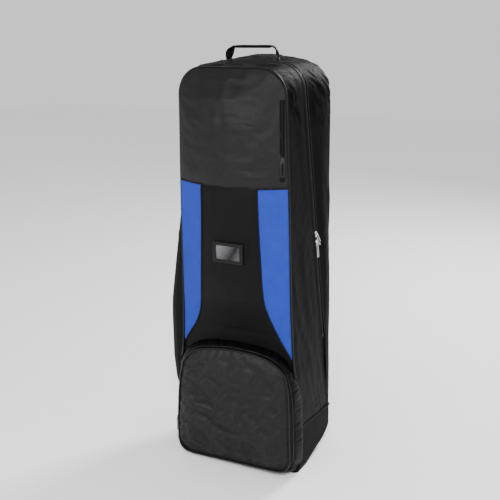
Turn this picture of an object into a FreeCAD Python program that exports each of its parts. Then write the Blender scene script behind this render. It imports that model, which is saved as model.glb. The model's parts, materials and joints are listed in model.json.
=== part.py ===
import FreeCAD, Part
import os
import re
import Sketcher

# Golf travel case, standing upright on its base.
# Frame: millimetres, origin at the centre of the base's rest face, +Z up,
# the front (blue panels, shoe pocket) faces -Y, +X is to the right of someone facing the front.
# The side walls lean in towards the top: their outer face is at half_base - height * side_taper.
# Right of the case, the main zip leans back on its way down; on the left it leans forward, so that
# the left side pocket stays on the fixed shell.

DIMENSIONS = {
    # outline of the case
    "shell_height": 1260,
    "half_base": 214,
    "side_taper": 0.0245,
    "front_y": -137,
    "back_y": 137,
    "wall": 5,
    "corner_radius": 80,
    "corner_start": 1176,
    "edge_trim": 9,
    "piping_proud": 2,
    "reach": 320,
    # heights of the seams
    "boot_height": 152,
    "fold_height": 455,
    "fold_gap": 0.5,
    "seam_height": 915,
    "blue_tip_height": 388,
    # inner edge of the blue panels
    "blue_in_top": 98,
    "blue_in_waist": 107,
    "blue_waist_height": 590,
    "blue_in_bend": 118,
    "blue_bend_height": 540,
    "blue_in_fold": 148,
    # how far the front swells out, and where the swelling starts and ends
    "crown_half": 194,
    "crown_depth": 40,
    "crown_foot": 1,
    "crown_head": 4,
    "crown_low": 560,
    "crown_high": 1165,
    # zips
    "zip_top_y": -30,
    "zip_lean_right": 0.1274,
    "zip_lean_left": 0.105,
    "zip_end_right": 462,
    "zip_end_left": 470,
    "shell_drop": 1,
    "tail_foot": 394,
    "tail_stop": 3,
    "half_gap": 1.6,
    "tape_width": 12,
    "small_tape_width": 7,
    "tape_thick": 2,
    "tape_inset": 1,
    # top pocket behind the upper front panel
    "lining_thick": 2,
    "lining_y": -124,
    "top_zip_x": 167,
    "top_zip_low": 935,
    "top_zip_high": 1165,
    # document window
    "window_height": 712,
    "patch_half_width": 52,
    "patch_half_height": 32,
    "patch_thick": 1.5,
    "lens_half_width": 40,
    "lens_half_height": 21.5,
    "sleeve_margin": 6,
    "sleeve_gap": 1.7,
    "lens_thick": 0.5,
    "frame_thick": 1,
    "card_half_width": 42.5,
    "card_depth": 50,
    "card_thick": 0.7,
    "card_play": 0.4,
    # shoe pocket
    "shoe_trim": 4,
    "shoe_base": 4,
    "shoe_shoulder": 390,
    "shoe_crown": 424,
    "shoe_foot_radius": 45,
    "shoe_shoulder_radius": 75,
    "shoe_crown_radius": 500,
    "shoe_wall": 4,
    "shoe_face_thick": 3,
    "piping_lap": 1,
    "shoe_zip_y": -171.2,
    "shoe_piping": 2,
    # side pocket on the left
    "side_pocket_depth": 58,
    "side_pocket_wall": 3,
    "side_pocket_low": 190,
    "side_pocket_high": 800,
    "side_pocket_front": -86,
    "side_pocket_bend": 470,
    "side_pocket_front_top": -52,
    "side_pocket_back": 40,
    "side_pocket_radius": 30,
    "side_zip_y": -20,
    "side_zip_low": 230,
    "side_zip_high": 772,
    # sliders and pulls, with the height at which each slider stands
    "upper_slider_height": 744,
    "lower_slider_height": 716,
    "top_slider_height": 997,
    "shoe_slider_height": 120,
    "side_slider_height": 752,
    "slider_half_width": 5.5,
    "slider_half_length": 9,
    "slider_play": 0.4,
    "slider_plate": 1.6,
    "nose_length": 4,
    "nose_bevel": 3,
    "post_half_width": 0.8,
    "post_start": 2,
    "post_inset": 1,
    "bridge_half_width": 1.5,
    "bridge_half_length": 3.6,
    "bridge_leg": 1.2,
    "bridge_top": 1.2,
    "tunnel": 2.7,
    "bar_radius": 1,
    "pull_half_width": 5.5,
    "pull_arm": 2,
    "pull_length": 48,
    "upper_pull_turn": 30,
    "pull_flat": 0.5,
    # top handle
    "webbing_half_width": 12.5,
    "webbing_thick": 3,
    "handle_rise": 48,
    "handle_foot_x": 84,
    "handle_grip_x": 60,
    "handle_leg_rise": 14,
    "inner_bend_drop": 1,
    "handle_bend": 12,
    "patch_half_x": 20,
    "patch_half_y": 15,
    "patch_x": 82,
    "handle_patch_thick": 1.2,
    "handle_play": 0.4,
    # wheels in the lower back edge
    "wheel_x": 118,
    "wheel_y": 112,
    "wheel_radius": 36,
    "wheel_half_width": 13,
    "wheel_lift": 1.5,
    "hub_radius": 24,
    "axle_radius": 4,
    "axle_play": 0.05,
    "tyre_round": 5,
    "slot_half_width": 18,
    "slot_front": 68,
    "slot_height": 84,
    "housing_wall": 5,
    "flange_half_width": 34,
    "flange_thick": 4,
    "flange_height": 96,
    "rivet_radius": 2,
    "rivet_head_radius": 5,
    "rivet_head_thick": 2,
    "rivet_offset": 27,
    "rivet_low": 25,
    "rivet_high": 75,
    "board_thick": 4,
    "board_margin": 10,
    "board_play": 1,
    # straps and padding inside
    "strap_half_width": 19,
    "strap_thick": 1.6,
    "strap_end_x": 172,
    "strap_middle_x": 6,
    "upper_strap_height": 790,
    "lower_strap_height": 430,
    "buckle_half_width": 23,
    "buckle_thick": 8,
    "buckle_length": 36,
    "buckle_wall": 2,
    "buckle_side": 3,
    "prong_root": 2,
    "male_length": 24,
    "prong_length": 24,
    "prong_inner": 8,
    "prong_outer": 15,
    "buckle_play": 0.4,
    "pad_half_width": 165,
    "pad_thick": 16,
    "pad_low": 880,
    "pad_high": 1160,
}

SIGN = {"right": "", "left": "-"}
AXES = {"XY": ("x", "y"), "XZ": ("x", "z"), "YZ": ("y", "z")}

doc = FreeCAD.newDocument("golf_travel_case")
sheet = doc.addObject("Spreadsheet::Sheet", "dimensions")
for row, (name, size) in enumerate(DIMENSIONS.items(), start=1):
    sheet.set(f"A{row}", name)
    sheet.set(f"B{row}", str(size))
    sheet.setAlias(f"B{row}", name)
doc.recompute()
ALIAS = re.compile(r"\b(" + "|".join(DIMENSIONS) + r")\b")
pieces = []


# ---------------------------------------------------------------- helpers

def value(expression):
    return float(sheet.evalExpression(expression))


def bind(thing, setting, expression):
    thing.setExpression(setting, ALIAS.sub(r"dimensions.\1", expression))


def keep(thing):
    pieces.append(thing)
    return thing


def half_at(height):
    return f"(half_base - ({height}) * side_taper)"


def zip_at(side, height):
    if side == "right":
        return f"(zip_top_y + (corner_start - ({height})) * zip_lean_right)"
    return f"(zip_top_y - (corner_start - ({height})) * zip_lean_left)"


def draw(sketch, outline):
    """A closed outline of straight runs; each corner is tied to the sheet."""
    first = sketch.GeometryCount
    count = len(outline)
    corners = [FreeCAD.Vector(value(a), value(b), 0) for a, b in outline]
    for i in range(count):
        sketch.addGeometry(Part.LineSegment(corners[i], corners[(i + 1) % count]))
    for i in range(count):
        following = first + (i + 1) % count
        sketch.addConstraint(Sketcher.Constraint("Coincident", first + i, 2, following, 1))
    for i, place in enumerate(outline):
        for letter, expression in zip("XY", place):
            rule = Sketcher.Constraint("Distance" + letter, -1, 1, first + i, 1, value(expression))
            number = sketch.addConstraint(rule)
            rule_name = f"{letter.lower()}_{first + i}"
            sketch.renameConstraint(number, rule_name)
            bind(sketch, "Constraints." + rule_name, expression)


def new_body(label):
    return doc.addObject("PartDesign::Body", label)


def add_pad(body, name, plane, outlines, low, high):
    """Outlines in a plane of the case, run from low to high along the third axis."""
    sketch = body.newObject("Sketcher::SketchObject", name + "_outline")
    role = plane + "_Plane"
    support = next(item for item in body.Origin.OriginFeatures if item.Role == role)
    sketch.AttachmentSupport = [(support, "")]
    sketch.MapMode = "FlatFace"
    for outline in outlines:
        draw(sketch, outline)
    start = f"-({high})" if plane == "XZ" else low
    bind(sketch, "AttachmentOffset.Base.z", start)
    pad = body.newObject("PartDesign::Pad", name + "_pad")
    pad.Profile = sketch
    bind(pad, "Length", f"({high}) - ({low})")
    body.Tip = pad
    doc.recompute()
    return body


def round_corners(body, plane, radius, corners):
    """Round the edges that stand on the given corners of the outline."""
    first, second = AXES[plane]
    wanted = [(value(a), value(b)) for a, b in corners]
    names = []
    base = body.Tip
    for number, edge in enumerate(base.Shape.Edges, start=1):
        ends = [(getattr(v.Point, first), getattr(v.Point, second)) for v in edge.Vertexes]
        for a, b in wanted:
            if all(abs(end[0] - a) + abs(end[1] - b) < 0.01 for end in ends):
                names.append(f"Edge{number}")
    fillet = body.newObject("PartDesign::Fillet", f"{body.Name}_round")
    fillet.Base = (base, names)
    bind(fillet, "Radius", radius)
    body.Tip = fillet
    doc.recompute()
    return body


def prism(label, plane, outlines, low, high):
    return add_pad(new_body(label), label, plane, outlines, low, high)


def block(label, x, y, z):
    """A plain block between two values on each axis."""
    outline = [(x[0], y[0]), (x[1], y[0]), (x[1], y[1]), (x[0], y[1])]
    return prism(label, "XY", [outline], z[0], z[1])


def combine(kind, label, *members):
    """One solid from several: Common, Cut (first less second) or MultiFuse; Compound keeps them."""
    thing = doc.addObject("Part::" + kind, label)
    if kind == "MultiFuse":
        thing.Shapes = list(members)
    elif kind == "Compound":
        thing.Links = list(members)
    else:
        thing.Base = members[0]
        thing.Tool = members[1]
    doc.recompute()
    return thing


def rod(label, radius, start, length, axis):
    """A round bar from the point start, along an axis of the case."""
    bar = doc.addObject("Part::Cylinder", label)
    bind(bar, "Radius", radius)
    bind(bar, "Height", length)
    turn = FreeCAD.Rotation(FreeCAD.Vector(0, 0, 1), FreeCAD.Vector(*axis))
    bar.Placement = FreeCAD.Placement(FreeCAD.Vector(0, 0, 0), turn)
    for letter, expression in zip("xyz", start):
        bind(bar, f"Placement.Base.{letter}", expression)
    doc.recompute()
    return bar


# ---------------------------------------------------------------- swollen front

def crescent(body, name, height, depth, near, far):
    """A level section through the front: two arcs that swell towards -Y, joined at their ends."""
    sketch = body.newObject("Sketcher::SketchObject", name)
    support = next(item for item in body.Origin.OriginFeatures if item.Role == "XY_Plane")
    sketch.AttachmentSupport = [(support, "")]
    sketch.MapMode = "FlatFace"
    bind(sketch, "AttachmentOffset.Base.z", height)
    radius = f"(crown_half ^ 2 + ({depth}) ^ 2) / (2 * ({depth}))"
    corners = []
    for offset in (near, far):
        level = value(f"front_y + ({offset})")
        left = FreeCAD.Vector(-value("crown_half"), level, 0)
        right = FreeCAD.Vector(value("crown_half"), level, 0)
        middle = FreeCAD.Vector(0, level - value(depth), 0)
        arc = sketch.addGeometry(Part.Arc(left, middle, right))
        rule = sketch.addConstraint(Sketcher.Constraint("Radius", arc, value(radius)))
        sketch.renameConstraint(rule, f"radius_{arc}")
        bind(sketch, f"Constraints.radius_{arc}", radius)
        corners += [(arc, 1, left, "-crown_half", offset), (arc, 2, right, "crown_half", offset)]
    for first, second in ((0, 2), (1, 3)):
        line = sketch.addGeometry(Part.LineSegment(corners[first][2], corners[second][2]))
        sketch.addConstraint(Sketcher.Constraint("Coincident", line, 1, *corners[first][:2]))
        sketch.addConstraint(Sketcher.Constraint("Coincident", line, 2, *corners[second][:2]))
    for arc, end, _, x, offset in corners:
        for letter, expression in (("X", x), ("Y", f"front_y + ({offset})")):
            rule = Sketcher.Constraint("Distance" + letter, -1, 1, arc, end, value(expression))
            number = sketch.addConstraint(rule)
            rule_name = f"{letter.lower()}_{arc}_{end}"
            sketch.renameConstraint(number, rule_name)
            bind(sketch, "Constraints." + rule_name, expression)
    return sketch


def crowned(label, outlines, near, far, rounds=()):
    """A piece of the swollen front: outlines as (x, height), near and far from its outer face."""
    skin = new_body(label + "_skin")
    levels = [("fold_height", "crown_foot"), ("crown_low", "crown_depth"),
              ("crown_high", "crown_depth"), ("shell_height", "crown_head")]
    sections = [crescent(skin, f"{label}_level_{number}", height, depth, near, far)
                for number, (height, depth) in enumerate(levels)]
    loft = skin.newObject("PartDesign::AdditiveLoft", label + "_loft")
    loft.Profile = sections[0]
    loft.Sections = sections[1:]
    loft.Ruled = True
    skin.Tip = loft
    outline = prism(label + "_face", "XZ", outlines, "front_y - 2 * crown_depth", "0")
    for radius, corners in rounds:
        round_corners(outline, "XZ", radius, corners)
    return combine("Common", label, skin, outline)


def crown_at(x):
    """Depth of the outer face of the swollen front at a distance x from the middle."""
    radius = "(crown_half ^ 2 + crown_depth ^ 2) / (2 * crown_depth)"
    return f"front_y - crown_depth + {radius} - sqrt(({radius}) ^ 2 - ({x}) ^ 2)"


# ---------------------------------------------------------------- walls

def wall_piece(label, side, outlines, inset="0", thick="wall", rounds=()):
    """A piece of a leaning side wall, with its outlines given as (depth, height)."""
    def face(depth, height):
        return (f"{SIGN[side]}({half_at(height)} - ({depth}))", height)
    inner = f"{inset} + {thick}"
    slab_outline = [face(inset, "0"), face(inset, "corner_start"),
                    face(inner, "corner_start"), face(inner, "0")]
    slab = prism(label + "_slab", "XZ", [slab_outline], "front_y", "back_y")
    low, high = ("0", "reach") if side == "right" else ("-reach", "0")
    region = prism(label + "_region", "YZ", outlines, low, high)
    for radius, corners in rounds:
        round_corners(region, "YZ", radius, corners)
    return combine("Common", label, slab, region)


def legs(foot, depth):
    """Corners of the case's outline, moved in by depth, from the height foot up and over."""
    low = f"{half_at(foot)} - ({depth})"
    top = f"shell_height - ({depth})"
    high = f"{half_at(top)} - ({depth})"
    return [(f"-({low})", foot), (f"-({high})", top), (high, top), (low, foot)]


def arch(label, foot, inset, thick, front, back):
    """An upside-down U that follows the outline of the case above the height foot."""
    deep = f"{inset} + {thick}"
    outer = legs(foot, inset)
    inner = legs(foot, deep)
    body = prism(label, "XZ", [outer + inner[::-1]], front, back)
    round_corners(body, "XZ", f"corner_radius - ({inset})", outer[1:3])
    return round_corners(body, "XZ", f"corner_radius - ({deep})", inner[1:3])


def notched_base(label, half_width, front, back, notch_half, notch_front, low, high):
    """A floor plate with an open notch at the back for each wheel."""
    outline = [(f"-({half_width})", front), (half_width, front), (half_width, back)]
    for centre in ("wheel_x", "-wheel_x"):
        outline += [(f"{centre} + {notch_half}", back), (f"{centre} + {notch_half}", notch_front),
                    (f"{centre} - ({notch_half})", notch_front), (f"{centre} - ({notch_half})", back)]
    outline.append((f"-({half_width})", back))
    return prism(label, "XY", [outline], low, high)


def make_base():
    keep(notched_base("base_panel", "half_base", "front_y", "back_y",
                      "slot_half_width", "slot_front", "0", "wall"))
    keep(notched_base("base_board", f"{half_at('0')} - wall - board_margin",
                      "front_y + wall + board_margin", "back_y - wall - flange_thick - board_play",
                      "slot_half_width + housing_wall + board_play", "slot_front - housing_wall - board_play",
                      "wall", "wall + board_thick"))


def make_boots():
    """The reinforced band around the foot of the case."""
    band = [("front_y + wall", "wall"), ("back_y - wall", "wall"),
            ("back_y - wall", "boot_height"), ("front_y + wall", "boot_height")]
    sides = [wall_piece("boot_" + side, side, [band]) for side in SIGN]
    keep(combine("Compound", "boot_sides", *sides))
    foot = half_at("wall")
    head = half_at("boot_height")
    outline = [(f"-{head}", "boot_height"), (f"-{foot}", "wall")]
    for centre in ("-wheel_x", "wheel_x"):
        outline += [(f"{centre} - slot_half_width", "wall"), (f"{centre} - slot_half_width", "slot_height"),
                    (f"{centre} + slot_half_width", "slot_height"), (f"{centre} + slot_half_width", "wall")]
    outline += [(foot, "wall"), (head, "boot_height")]
    keep(prism("boot_back", "XZ", [outline], "back_y - wall", "back_y"))


def make_rear_shell():
    """Everything behind the main zip and below the fold of the front cover."""
    lower = []
    for side in SIGN:
        top = f"zip_end_{side} - shell_drop"
        foot = "tail_foot" if side == "right" else top
        band = "half_gap + tape_width"
        outline = [("front_y + wall", "boot_height"), ("back_y - wall", "boot_height"),
                   ("back_y - wall", foot), (f"{zip_at(side, foot)} - ({band})", foot)]
        if side == "right":
            outline.append((f"{zip_at(side, top)} - ({band})", top))
        outline.append(("front_y + wall", "fold_height - fold_gap"))
        lower.append(wall_piece("lower_gusset_" + side, side, [outline]))
        edge = f"{zip_at(side, foot)} + {band}"
        outline = [(edge, foot), ("back_y - wall", foot),
                   ("back_y - wall", "corner_start"), (f"zip_top_y + {band}", "corner_start")]
        keep(wall_piece("rear_gusset_" + side, side, [outline]))
    keep(combine("Compound", "lower_gussets", *lower))
    keep(arch("rear_gusset_top", "corner_start", "0", "wall",
              "zip_top_y + half_gap + tape_width", "back_y - wall"))
    back = legs("boot_height", "0")
    panel = prism("back_panel", "XZ", [back], "back_y - wall", "back_y")
    keep(round_corners(panel, "XZ", "corner_radius", back[1:3]))


def make_lower_front():
    """The front wall behind the shoe pocket, with the tips of the blue panels let into it."""
    tip = "blue_tip_height"
    hem = "fold_height - fold_gap"
    low = half_at("wall")
    outline = [(f"-{low}", "wall"), (low, "wall"), (half_at(tip), tip), ("blue_in_fold", hem),
               ("-blue_in_fold", hem), (f"-{half_at(tip)}", tip)]
    keep(prism("lower_front_panel", "XZ", [outline], "front_y", "front_y + wall"))
    tips = []
    for side, sign in SIGN.items():
        corner = [(f"{sign}blue_in_fold", hem), (f"{sign}{half_at(hem)}", hem),
                  (f"{sign}{half_at(tip)}", tip)]
        tips.append(prism("blue_tip_" + side, "XZ", [corner], "front_y", "front_y + wall"))
    keep(combine("Compound", "blue_tips", *tips))


def make_front_cover():
    """The front that folds down once the main zip is open."""
    hem = "fold_height + fold_gap"
    for side, end in (("left", "zip_end_left"), ("right", "zip_end_right")):
        edge = "- half_gap - tape_width"
        outline = [("front_y + wall", hem), (f"{zip_at(side, end)} {edge}", end),
                   (f"zip_top_y {edge}", "corner_start"), ("front_y + wall", "corner_start")]
        keep(wall_piece("front_gusset_" + side, side, [outline]))
    keep(arch("front_gusset_top", "corner_start", "0", "wall",
              "front_y + wall", "zip_top_y - half_gap - tape_width"))
    keep(arch("front_piping", hem, "0", "edge_trim", "front_y - piping_proud", "front_y + wall"))
    make_front_panels(hem)


def make_front_panels(hem):
    inner = [("blue_in_top", "seam_height"), ("blue_in_waist", "blue_waist_height"),
             ("blue_in_bend", "blue_bend_height"), ("blue_in_fold", hem)]
    mirrored = [("-" + x, z) for x, z in inner]
    keep(crowned("centre_panel", [inner + mirrored[::-1]], "0", "wall"))
    for side, sign in SIGN.items():
        seam = [(sign + x, z) for x, z in inner]
        outer = [(f"{sign}({half_at(z)} - edge_trim)", z) for z in (hem, "seam_height")]
        keep(crowned("blue_panel_" + side, [seam + outer], "0", "wall"))
    upper = legs("seam_height", "edge_trim")
    slot_x = [f"top_zip_x {sign} (half_gap + small_tape_width)" for sign in "-+"]
    slot = [(slot_x[0], "top_zip_low"), (slot_x[1], "top_zip_low"),
            (slot_x[1], "top_zip_high"), (slot_x[0], "top_zip_high")]
    keep(crowned("upper_front_panel", [upper, slot], "0", "wall",
                 [("corner_radius - edge_trim", upper[1:3])]))
    lining = legs("seam_height", "wall")
    sheet_body = prism("top_pocket_lining", "XZ", [lining], "lining_y", "lining_y + lining_thick")
    keep(round_corners(sheet_body, "XZ", "corner_radius - wall", lining[1:3]))


# ---------------------------------------------------------------- zips

def tape(side, name, low, high, near, far):
    """One half of the main zip on one side wall; near and far are measured from the zip line."""
    outline = [(f"{zip_at(side, low)} + {near}", low), (f"{zip_at(side, low)} + {far}", low),
               (f"{zip_at(side, high)} + {far}", high), (f"{zip_at(side, high)} + {near}", high)]
    return wall_piece(f"{name}_{side}", side, [outline], "tape_inset", "tape_thick")


def make_main_zip():
    """Two tapes, over the top and down both sides; on the right they run on below the front cover."""
    halves = {"front": ("-(half_gap + tape_width)", "-half_gap"),
              "rear": ("half_gap", "half_gap + tape_width")}
    for name, (near, far) in halves.items():
        label = "main_zip_" + name
        foot = {"left": "zip_end_left", "right": "zip_end_right"}
        if name == "rear":
            foot = {"left": "zip_end_left - shell_drop", "right": "tail_foot"}
        over = arch(label + "_over", "corner_start", "tape_inset", "tape_thick",
                    f"zip_top_y + {near}", f"zip_top_y + {far}")
        members = [over]
        for side in SIGN:
            members.append(tape(side, label, foot[side], "corner_start", near, far))
        if name == "rear":
            members.append(zip_tail())
        keep(combine("MultiFuse", label, *members))


def zip_tail():
    """The lowest stretch of the front tape, which stays on the fixed shell, with its end stop."""
    foot = "tail_foot"
    stop = "tail_foot + tail_stop"
    head = "zip_end_right - shell_drop"
    rim = "- half_gap - tape_width"
    outline = [(f"{zip_at('right', foot)} {rim}", foot), (f"{zip_at('right', foot)} + half_gap", foot),
               (f"{zip_at('right', stop)} + half_gap", stop), (f"{zip_at('right', stop)} - half_gap", stop),
               (f"{zip_at('right', head)} - half_gap", head), (f"{zip_at('right', head)} {rim}", head)]
    return wall_piece("main_zip_tail", "right", [outline], "tape_inset", "tape_thick")


def make_top_pocket_zip():
    """Two tapes side by side, let into the swollen front."""
    halves = []
    for name, sign in (("near", "-"), ("far", "+")):
        edge = f"top_zip_x {sign} half_gap"
        rim = f"top_zip_x {sign} (half_gap + small_tape_width)"
        outline = [(edge, "top_zip_low"), (rim, "top_zip_low"), (rim, "top_zip_high"), (edge, "top_zip_high")]
        halves.append(crowned("top_pocket_zip_" + name, [outline], "tape_inset", "tape_inset + tape_thick"))
    keep(combine("Compound", "top_pocket_zip", *halves))


def slider_body(label):
    """A slider lying flat: the zip runs along Y, the outside of the case is +Z."""
    tip = "slider_half_length"
    side = "slider_half_width"
    shoulder = f"{tip} - nose_length"
    nose = f"{side} - nose_bevel"
    plate = [(f"-{side}", f"-{tip}"), (side, f"-{tip}"), (side, shoulder), (nose, tip),
             (f"-({nose})", tip), (f"-{side}", shoulder)]
    inner = "tape_thick / 2 + slider_play"
    outer = f"{inner} + slider_plate"
    post = [("-post_half_width", "post_start"), ("post_half_width", "post_start"),
            ("post_half_width", f"{tip} - post_inset"), ("-post_half_width", f"{tip} - post_inset")]
    long = "bridge_half_length"
    roof = f"{outer} + tunnel"
    crown = f"{roof} + bridge_top"
    short = f"{long} - bridge_leg"
    bridge = [(f"-{long}", outer), (f"-{long}", crown), (long, crown), (long, outer),
              (short, outer), (short, roof), (f"-({short})", roof), (f"-({short})", outer)]
    body = new_body(label)
    add_pad(body, label + "_plate", "XY", [plate], inner, outer)
    add_pad(body, label + "_post", "XY", [post], f"-({outer})", inner)
    add_pad(body, label + "_back", "XY", [plate], f"-({outer})", f"-({inner})")
    return add_pad(body, label + "_bridge", "YZ", [bridge], "-bridge_half_width", "bridge_half_width")


def pull_body(label, turn):
    """The pull: an oblong frame whose round bar passes under the slider's bridge."""
    centre = "tape_thick / 2 + slider_play + slider_plate + tunnel / 2"
    side = "pull_half_width"
    tail = "-(pull_length)"
    inside = "pull_half_width - pull_arm"
    outer = [(f"-{side}", "bar_radius / 2"), (f"-({inside})", "bar_radius / 2"),
             (f"-({inside})", f"{tail} + pull_arm"), (inside, f"{tail} + pull_arm"),
             (inside, "bar_radius / 2"), (side, "bar_radius / 2"), (side, tail), (f"-{side}", tail)]
    frame = prism(label + "_frame", "XY", [outer], f"{centre} - bar_radius", f"{centre} + bar_radius")
    round_corners(frame, "XY", "pull_half_width - pull_flat", outer[6:8])
    round_corners(frame, "XY", "pull_half_width - pull_arm - pull_flat", outer[2:4])
    bar = rod(label + "_bar", "bar_radius", (f"-{side}", "0", centre), f"2 * {side}", (1, 0, 0))
    pull = combine("MultiFuse", label, frame, bar)
    pull.Placement.Rotation = FreeCAD.Rotation(FreeCAD.Vector(0, 0, 1), turn)
    return pull


def lay_on_zip(thing, place, outward, along):
    """Set a slider or pull down on its zip: place is on the tape, outward leaves the case."""
    across = along.cross(outward)
    turn = FreeCAD.Rotation(across, along, outward, "ZYX")
    spin = thing.Placement.Rotation
    thing.Placement = FreeCAD.Placement(place, turn * spin)
    return thing


def slider_places():
    """For each slider: a point on the zip line, the way out of the case, the way along the zip."""
    taper = value("side_taper")
    lean = value("zip_lean_right")
    right_out = FreeCAD.Vector(1, 0, taper).normalize()
    left_out = FreeCAD.Vector(-1, 0, taper).normalize()
    up_right = FreeCAD.Vector(-taper, -lean, 1).normalize()
    up_left = FreeCAD.Vector(taper, 0, 1).normalize()
    crown_radius = value("(crown_half ^ 2 + crown_depth ^ 2) / (2 * crown_depth)")
    front_turn = value("top_zip_x") / crown_radius
    front_out = FreeCAD.Vector(front_turn, -(1 - front_turn ** 2) ** 0.5, 0)
    up = FreeCAD.Vector(0, 0, 1)
    depth = value("tape_inset + tape_thick / 2")

    def on_right(height):
        return FreeCAD.Vector(value(half_at(height)) - depth, value(zip_at("right", height)), height)

    def on_left(height, inset, y):
        return FreeCAD.Vector(-(value(half_at(height)) - inset), y, height)

    shoe_inset = value("shoe_trim") + depth
    pocket_inset = value("side_pocket_wall / 2 - side_pocket_depth")
    front_place = FreeCAD.Vector(value("top_zip_x"), value(crown_at("top_zip_x")) + depth,
                                 value("top_slider_height"))
    shoe_height = value("shoe_slider_height")
    side_height = value("side_slider_height")
    return {
        "main_upper": (on_right(value("upper_slider_height")), right_out, up_right, value("upper_pull_turn")),
        "main_lower": (on_right(value("lower_slider_height")), right_out, up_right, 0),
        "top_pocket": (front_place, front_out, up, 0),
        "shoe_pocket": (on_left(shoe_height, shoe_inset, value("shoe_zip_y")), left_out, up_left, 0),
        "side_pocket": (on_left(side_height, pocket_inset, value("side_zip_y")), left_out, up_left, 0),
    }


def make_sliders():
    for name, (place, outward, along, turn) in slider_places().items():
        keep(lay_on_zip(slider_body(name + "_slider"), place, outward, along))
        keep(lay_on_zip(pull_body(name + "_pull", turn), place, outward, along))


# ---------------------------------------------------------------- document window

def plate_outline(half_width, low, high):
    return [(f"-({half_width})", low), (half_width, low), (half_width, high), (f"-({half_width})", high)]


def make_window():
    """A sleeve for an address card: patch, card, clear lens and a stitched frame, back to front."""
    low = "window_height - patch_half_height"
    high = "window_height + patch_half_height"
    mouth = "-(patch_thick + sleeve_gap)"
    face = plate_outline("patch_half_width", low, high)
    keep(crowned("window_patch", [face], "-patch_thick", "0"))
    inside = "patch_half_width - sleeve_margin"
    lens = plate_outline(inside, f"{low} + sleeve_margin", high)
    keep(crowned("window_lens", [lens], mouth, f"{mouth} + lens_thick"))
    view = plate_outline("lens_half_width", "window_height - lens_half_height",
                         "window_height + lens_half_height")
    front = crowned("window_frame_front", [face, view], f"{mouth} - frame_thick", mouth)
    rim = [("-patch_half_width", low), ("patch_half_width", low), ("patch_half_width", high),
           (inside, high), (inside, f"{low} + sleeve_margin"),
           (f"-({inside})", f"{low} + sleeve_margin"), (f"-({inside})", high), ("-patch_half_width", high)]
    spacer = crowned("window_frame_spacer", [rim], mouth, "-patch_thick")
    keep(combine("MultiFuse", "window_frame", front, spacer))
    foot = f"{low} + sleeve_margin + card_play"
    card = plate_outline("card_half_width", foot, f"{foot} + card_depth")
    keep(crowned("id_card", [card], "-(patch_thick + card_play + card_thick)", "-(patch_thick + card_play)"))


# ---------------------------------------------------------------- shoe pocket

def shoe_outline(inset):
    """Foot corners, shoulders and crown of the shoe pocket's arched outline."""
    foot = f"{half_at('shoe_base')} - shoe_trim - ({inset})"
    shoulder = f"{half_at('shoe_shoulder')} - shoe_trim - ({inset})"
    low = f"shoe_base + {inset}"
    high = f"shoe_shoulder - ({inset})"
    return [(f"-({foot})", low), (foot, low), (shoulder, high), ("0", f"shoe_crown - ({inset})"),
            (f"-({shoulder})", high)]


def round_shoe(body, inset):
    outline = shoe_outline(inset)
    round_corners(body, "XZ", f"shoe_foot_radius - ({inset})", outline[:2])
    round_corners(body, "XZ", f"shoe_shoulder_radius - ({inset})", [outline[2], outline[4]])
    return round_corners(body, "XZ", f"shoe_crown_radius - ({inset})", [outline[3]])


def shoe_ring(label, outer, inner, front, back):
    body = prism(label, "XZ", [shoe_outline(outer), shoe_outline(inner)], front, back)
    round_shoe(body, outer)
    return round_shoe(body, inner)


def make_shoe_pocket():
    gap = "half_gap"
    band = "half_gap + tape_width"
    face_back = f"shoe_zip_y - ({band})"
    keep(shoe_ring("shoe_pocket_gusset", "0", "shoe_wall", f"shoe_zip_y + {band}", "front_y"))
    keep(shoe_ring("shoe_zip_rear", "tape_inset", "tape_inset + tape_thick",
                   f"shoe_zip_y + {gap}", f"shoe_zip_y + {band}"))
    keep(shoe_ring("shoe_zip_front", "tape_inset", "tape_inset + tape_thick",
                   face_back, f"shoe_zip_y - {gap}"))
    face = prism("shoe_pocket_face", "XZ", [shoe_outline("shoe_wall")],
                 f"{face_back} - shoe_face_thick", face_back)
    keep(round_shoe(face, "shoe_wall"))
    keep(shoe_ring("shoe_pocket_piping", "-shoe_piping", "shoe_wall",
                   f"{face_back} - shoe_face_thick - piping_lap", face_back))


# ---------------------------------------------------------------- side pocket

def side_pocket_outline(inset):
    return [(f"side_pocket_front + {inset}", f"side_pocket_low + {inset}"),
            (f"side_pocket_back - {inset}", f"side_pocket_low + {inset}"),
            (f"side_pocket_back - {inset}", f"side_pocket_high - {inset}"),
            (f"side_pocket_front_top + {inset}", f"side_pocket_high - {inset}"),
            (f"side_pocket_front + {inset}", "side_pocket_bend")]


def make_side_pocket():
    outer = side_pocket_outline("0")
    inner = side_pocket_outline("side_pocket_wall")
    outside = "-side_pocket_depth"
    half_slot = "(half_gap + small_tape_width)"
    slot = [(f"side_zip_y {sign} {half_slot}", height)
            for sign, height in (("-", "side_zip_low"), ("+", "side_zip_low"),
                                 ("+", "side_zip_high"), ("-", "side_zip_high"))]
    keep(wall_piece("side_pocket_face", "left", [outer, slot], outside, "side_pocket_wall",
                    [("side_pocket_radius", outer[:4])]))
    keep(wall_piece("side_pocket_gusset", "left", [outer, inner],
                    "side_pocket_wall - side_pocket_depth", "side_pocket_depth - side_pocket_wall",
                    [("side_pocket_radius", outer[:4]),
                     ("side_pocket_radius - side_pocket_wall", inner[:4])]))
    halves = []
    for name, sign in (("front", "-"), ("back", "+")):
        outline = [(f"side_zip_y {sign} half_gap", "side_zip_low"),
                   (f"side_zip_y {sign} {half_slot}", "side_zip_low"),
                   (f"side_zip_y {sign} {half_slot}", "side_zip_high"),
                   (f"side_zip_y {sign} half_gap", "side_zip_high")]
        halves.append(wall_piece("side_pocket_zip_" + name, "left", [outline],
                                 "(side_pocket_wall - tape_thick) / 2 - side_pocket_depth", "tape_thick"))
    keep(combine("Compound", "side_pocket_zip", *halves))


# ---------------------------------------------------------------- handle, wheels, inside

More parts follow.
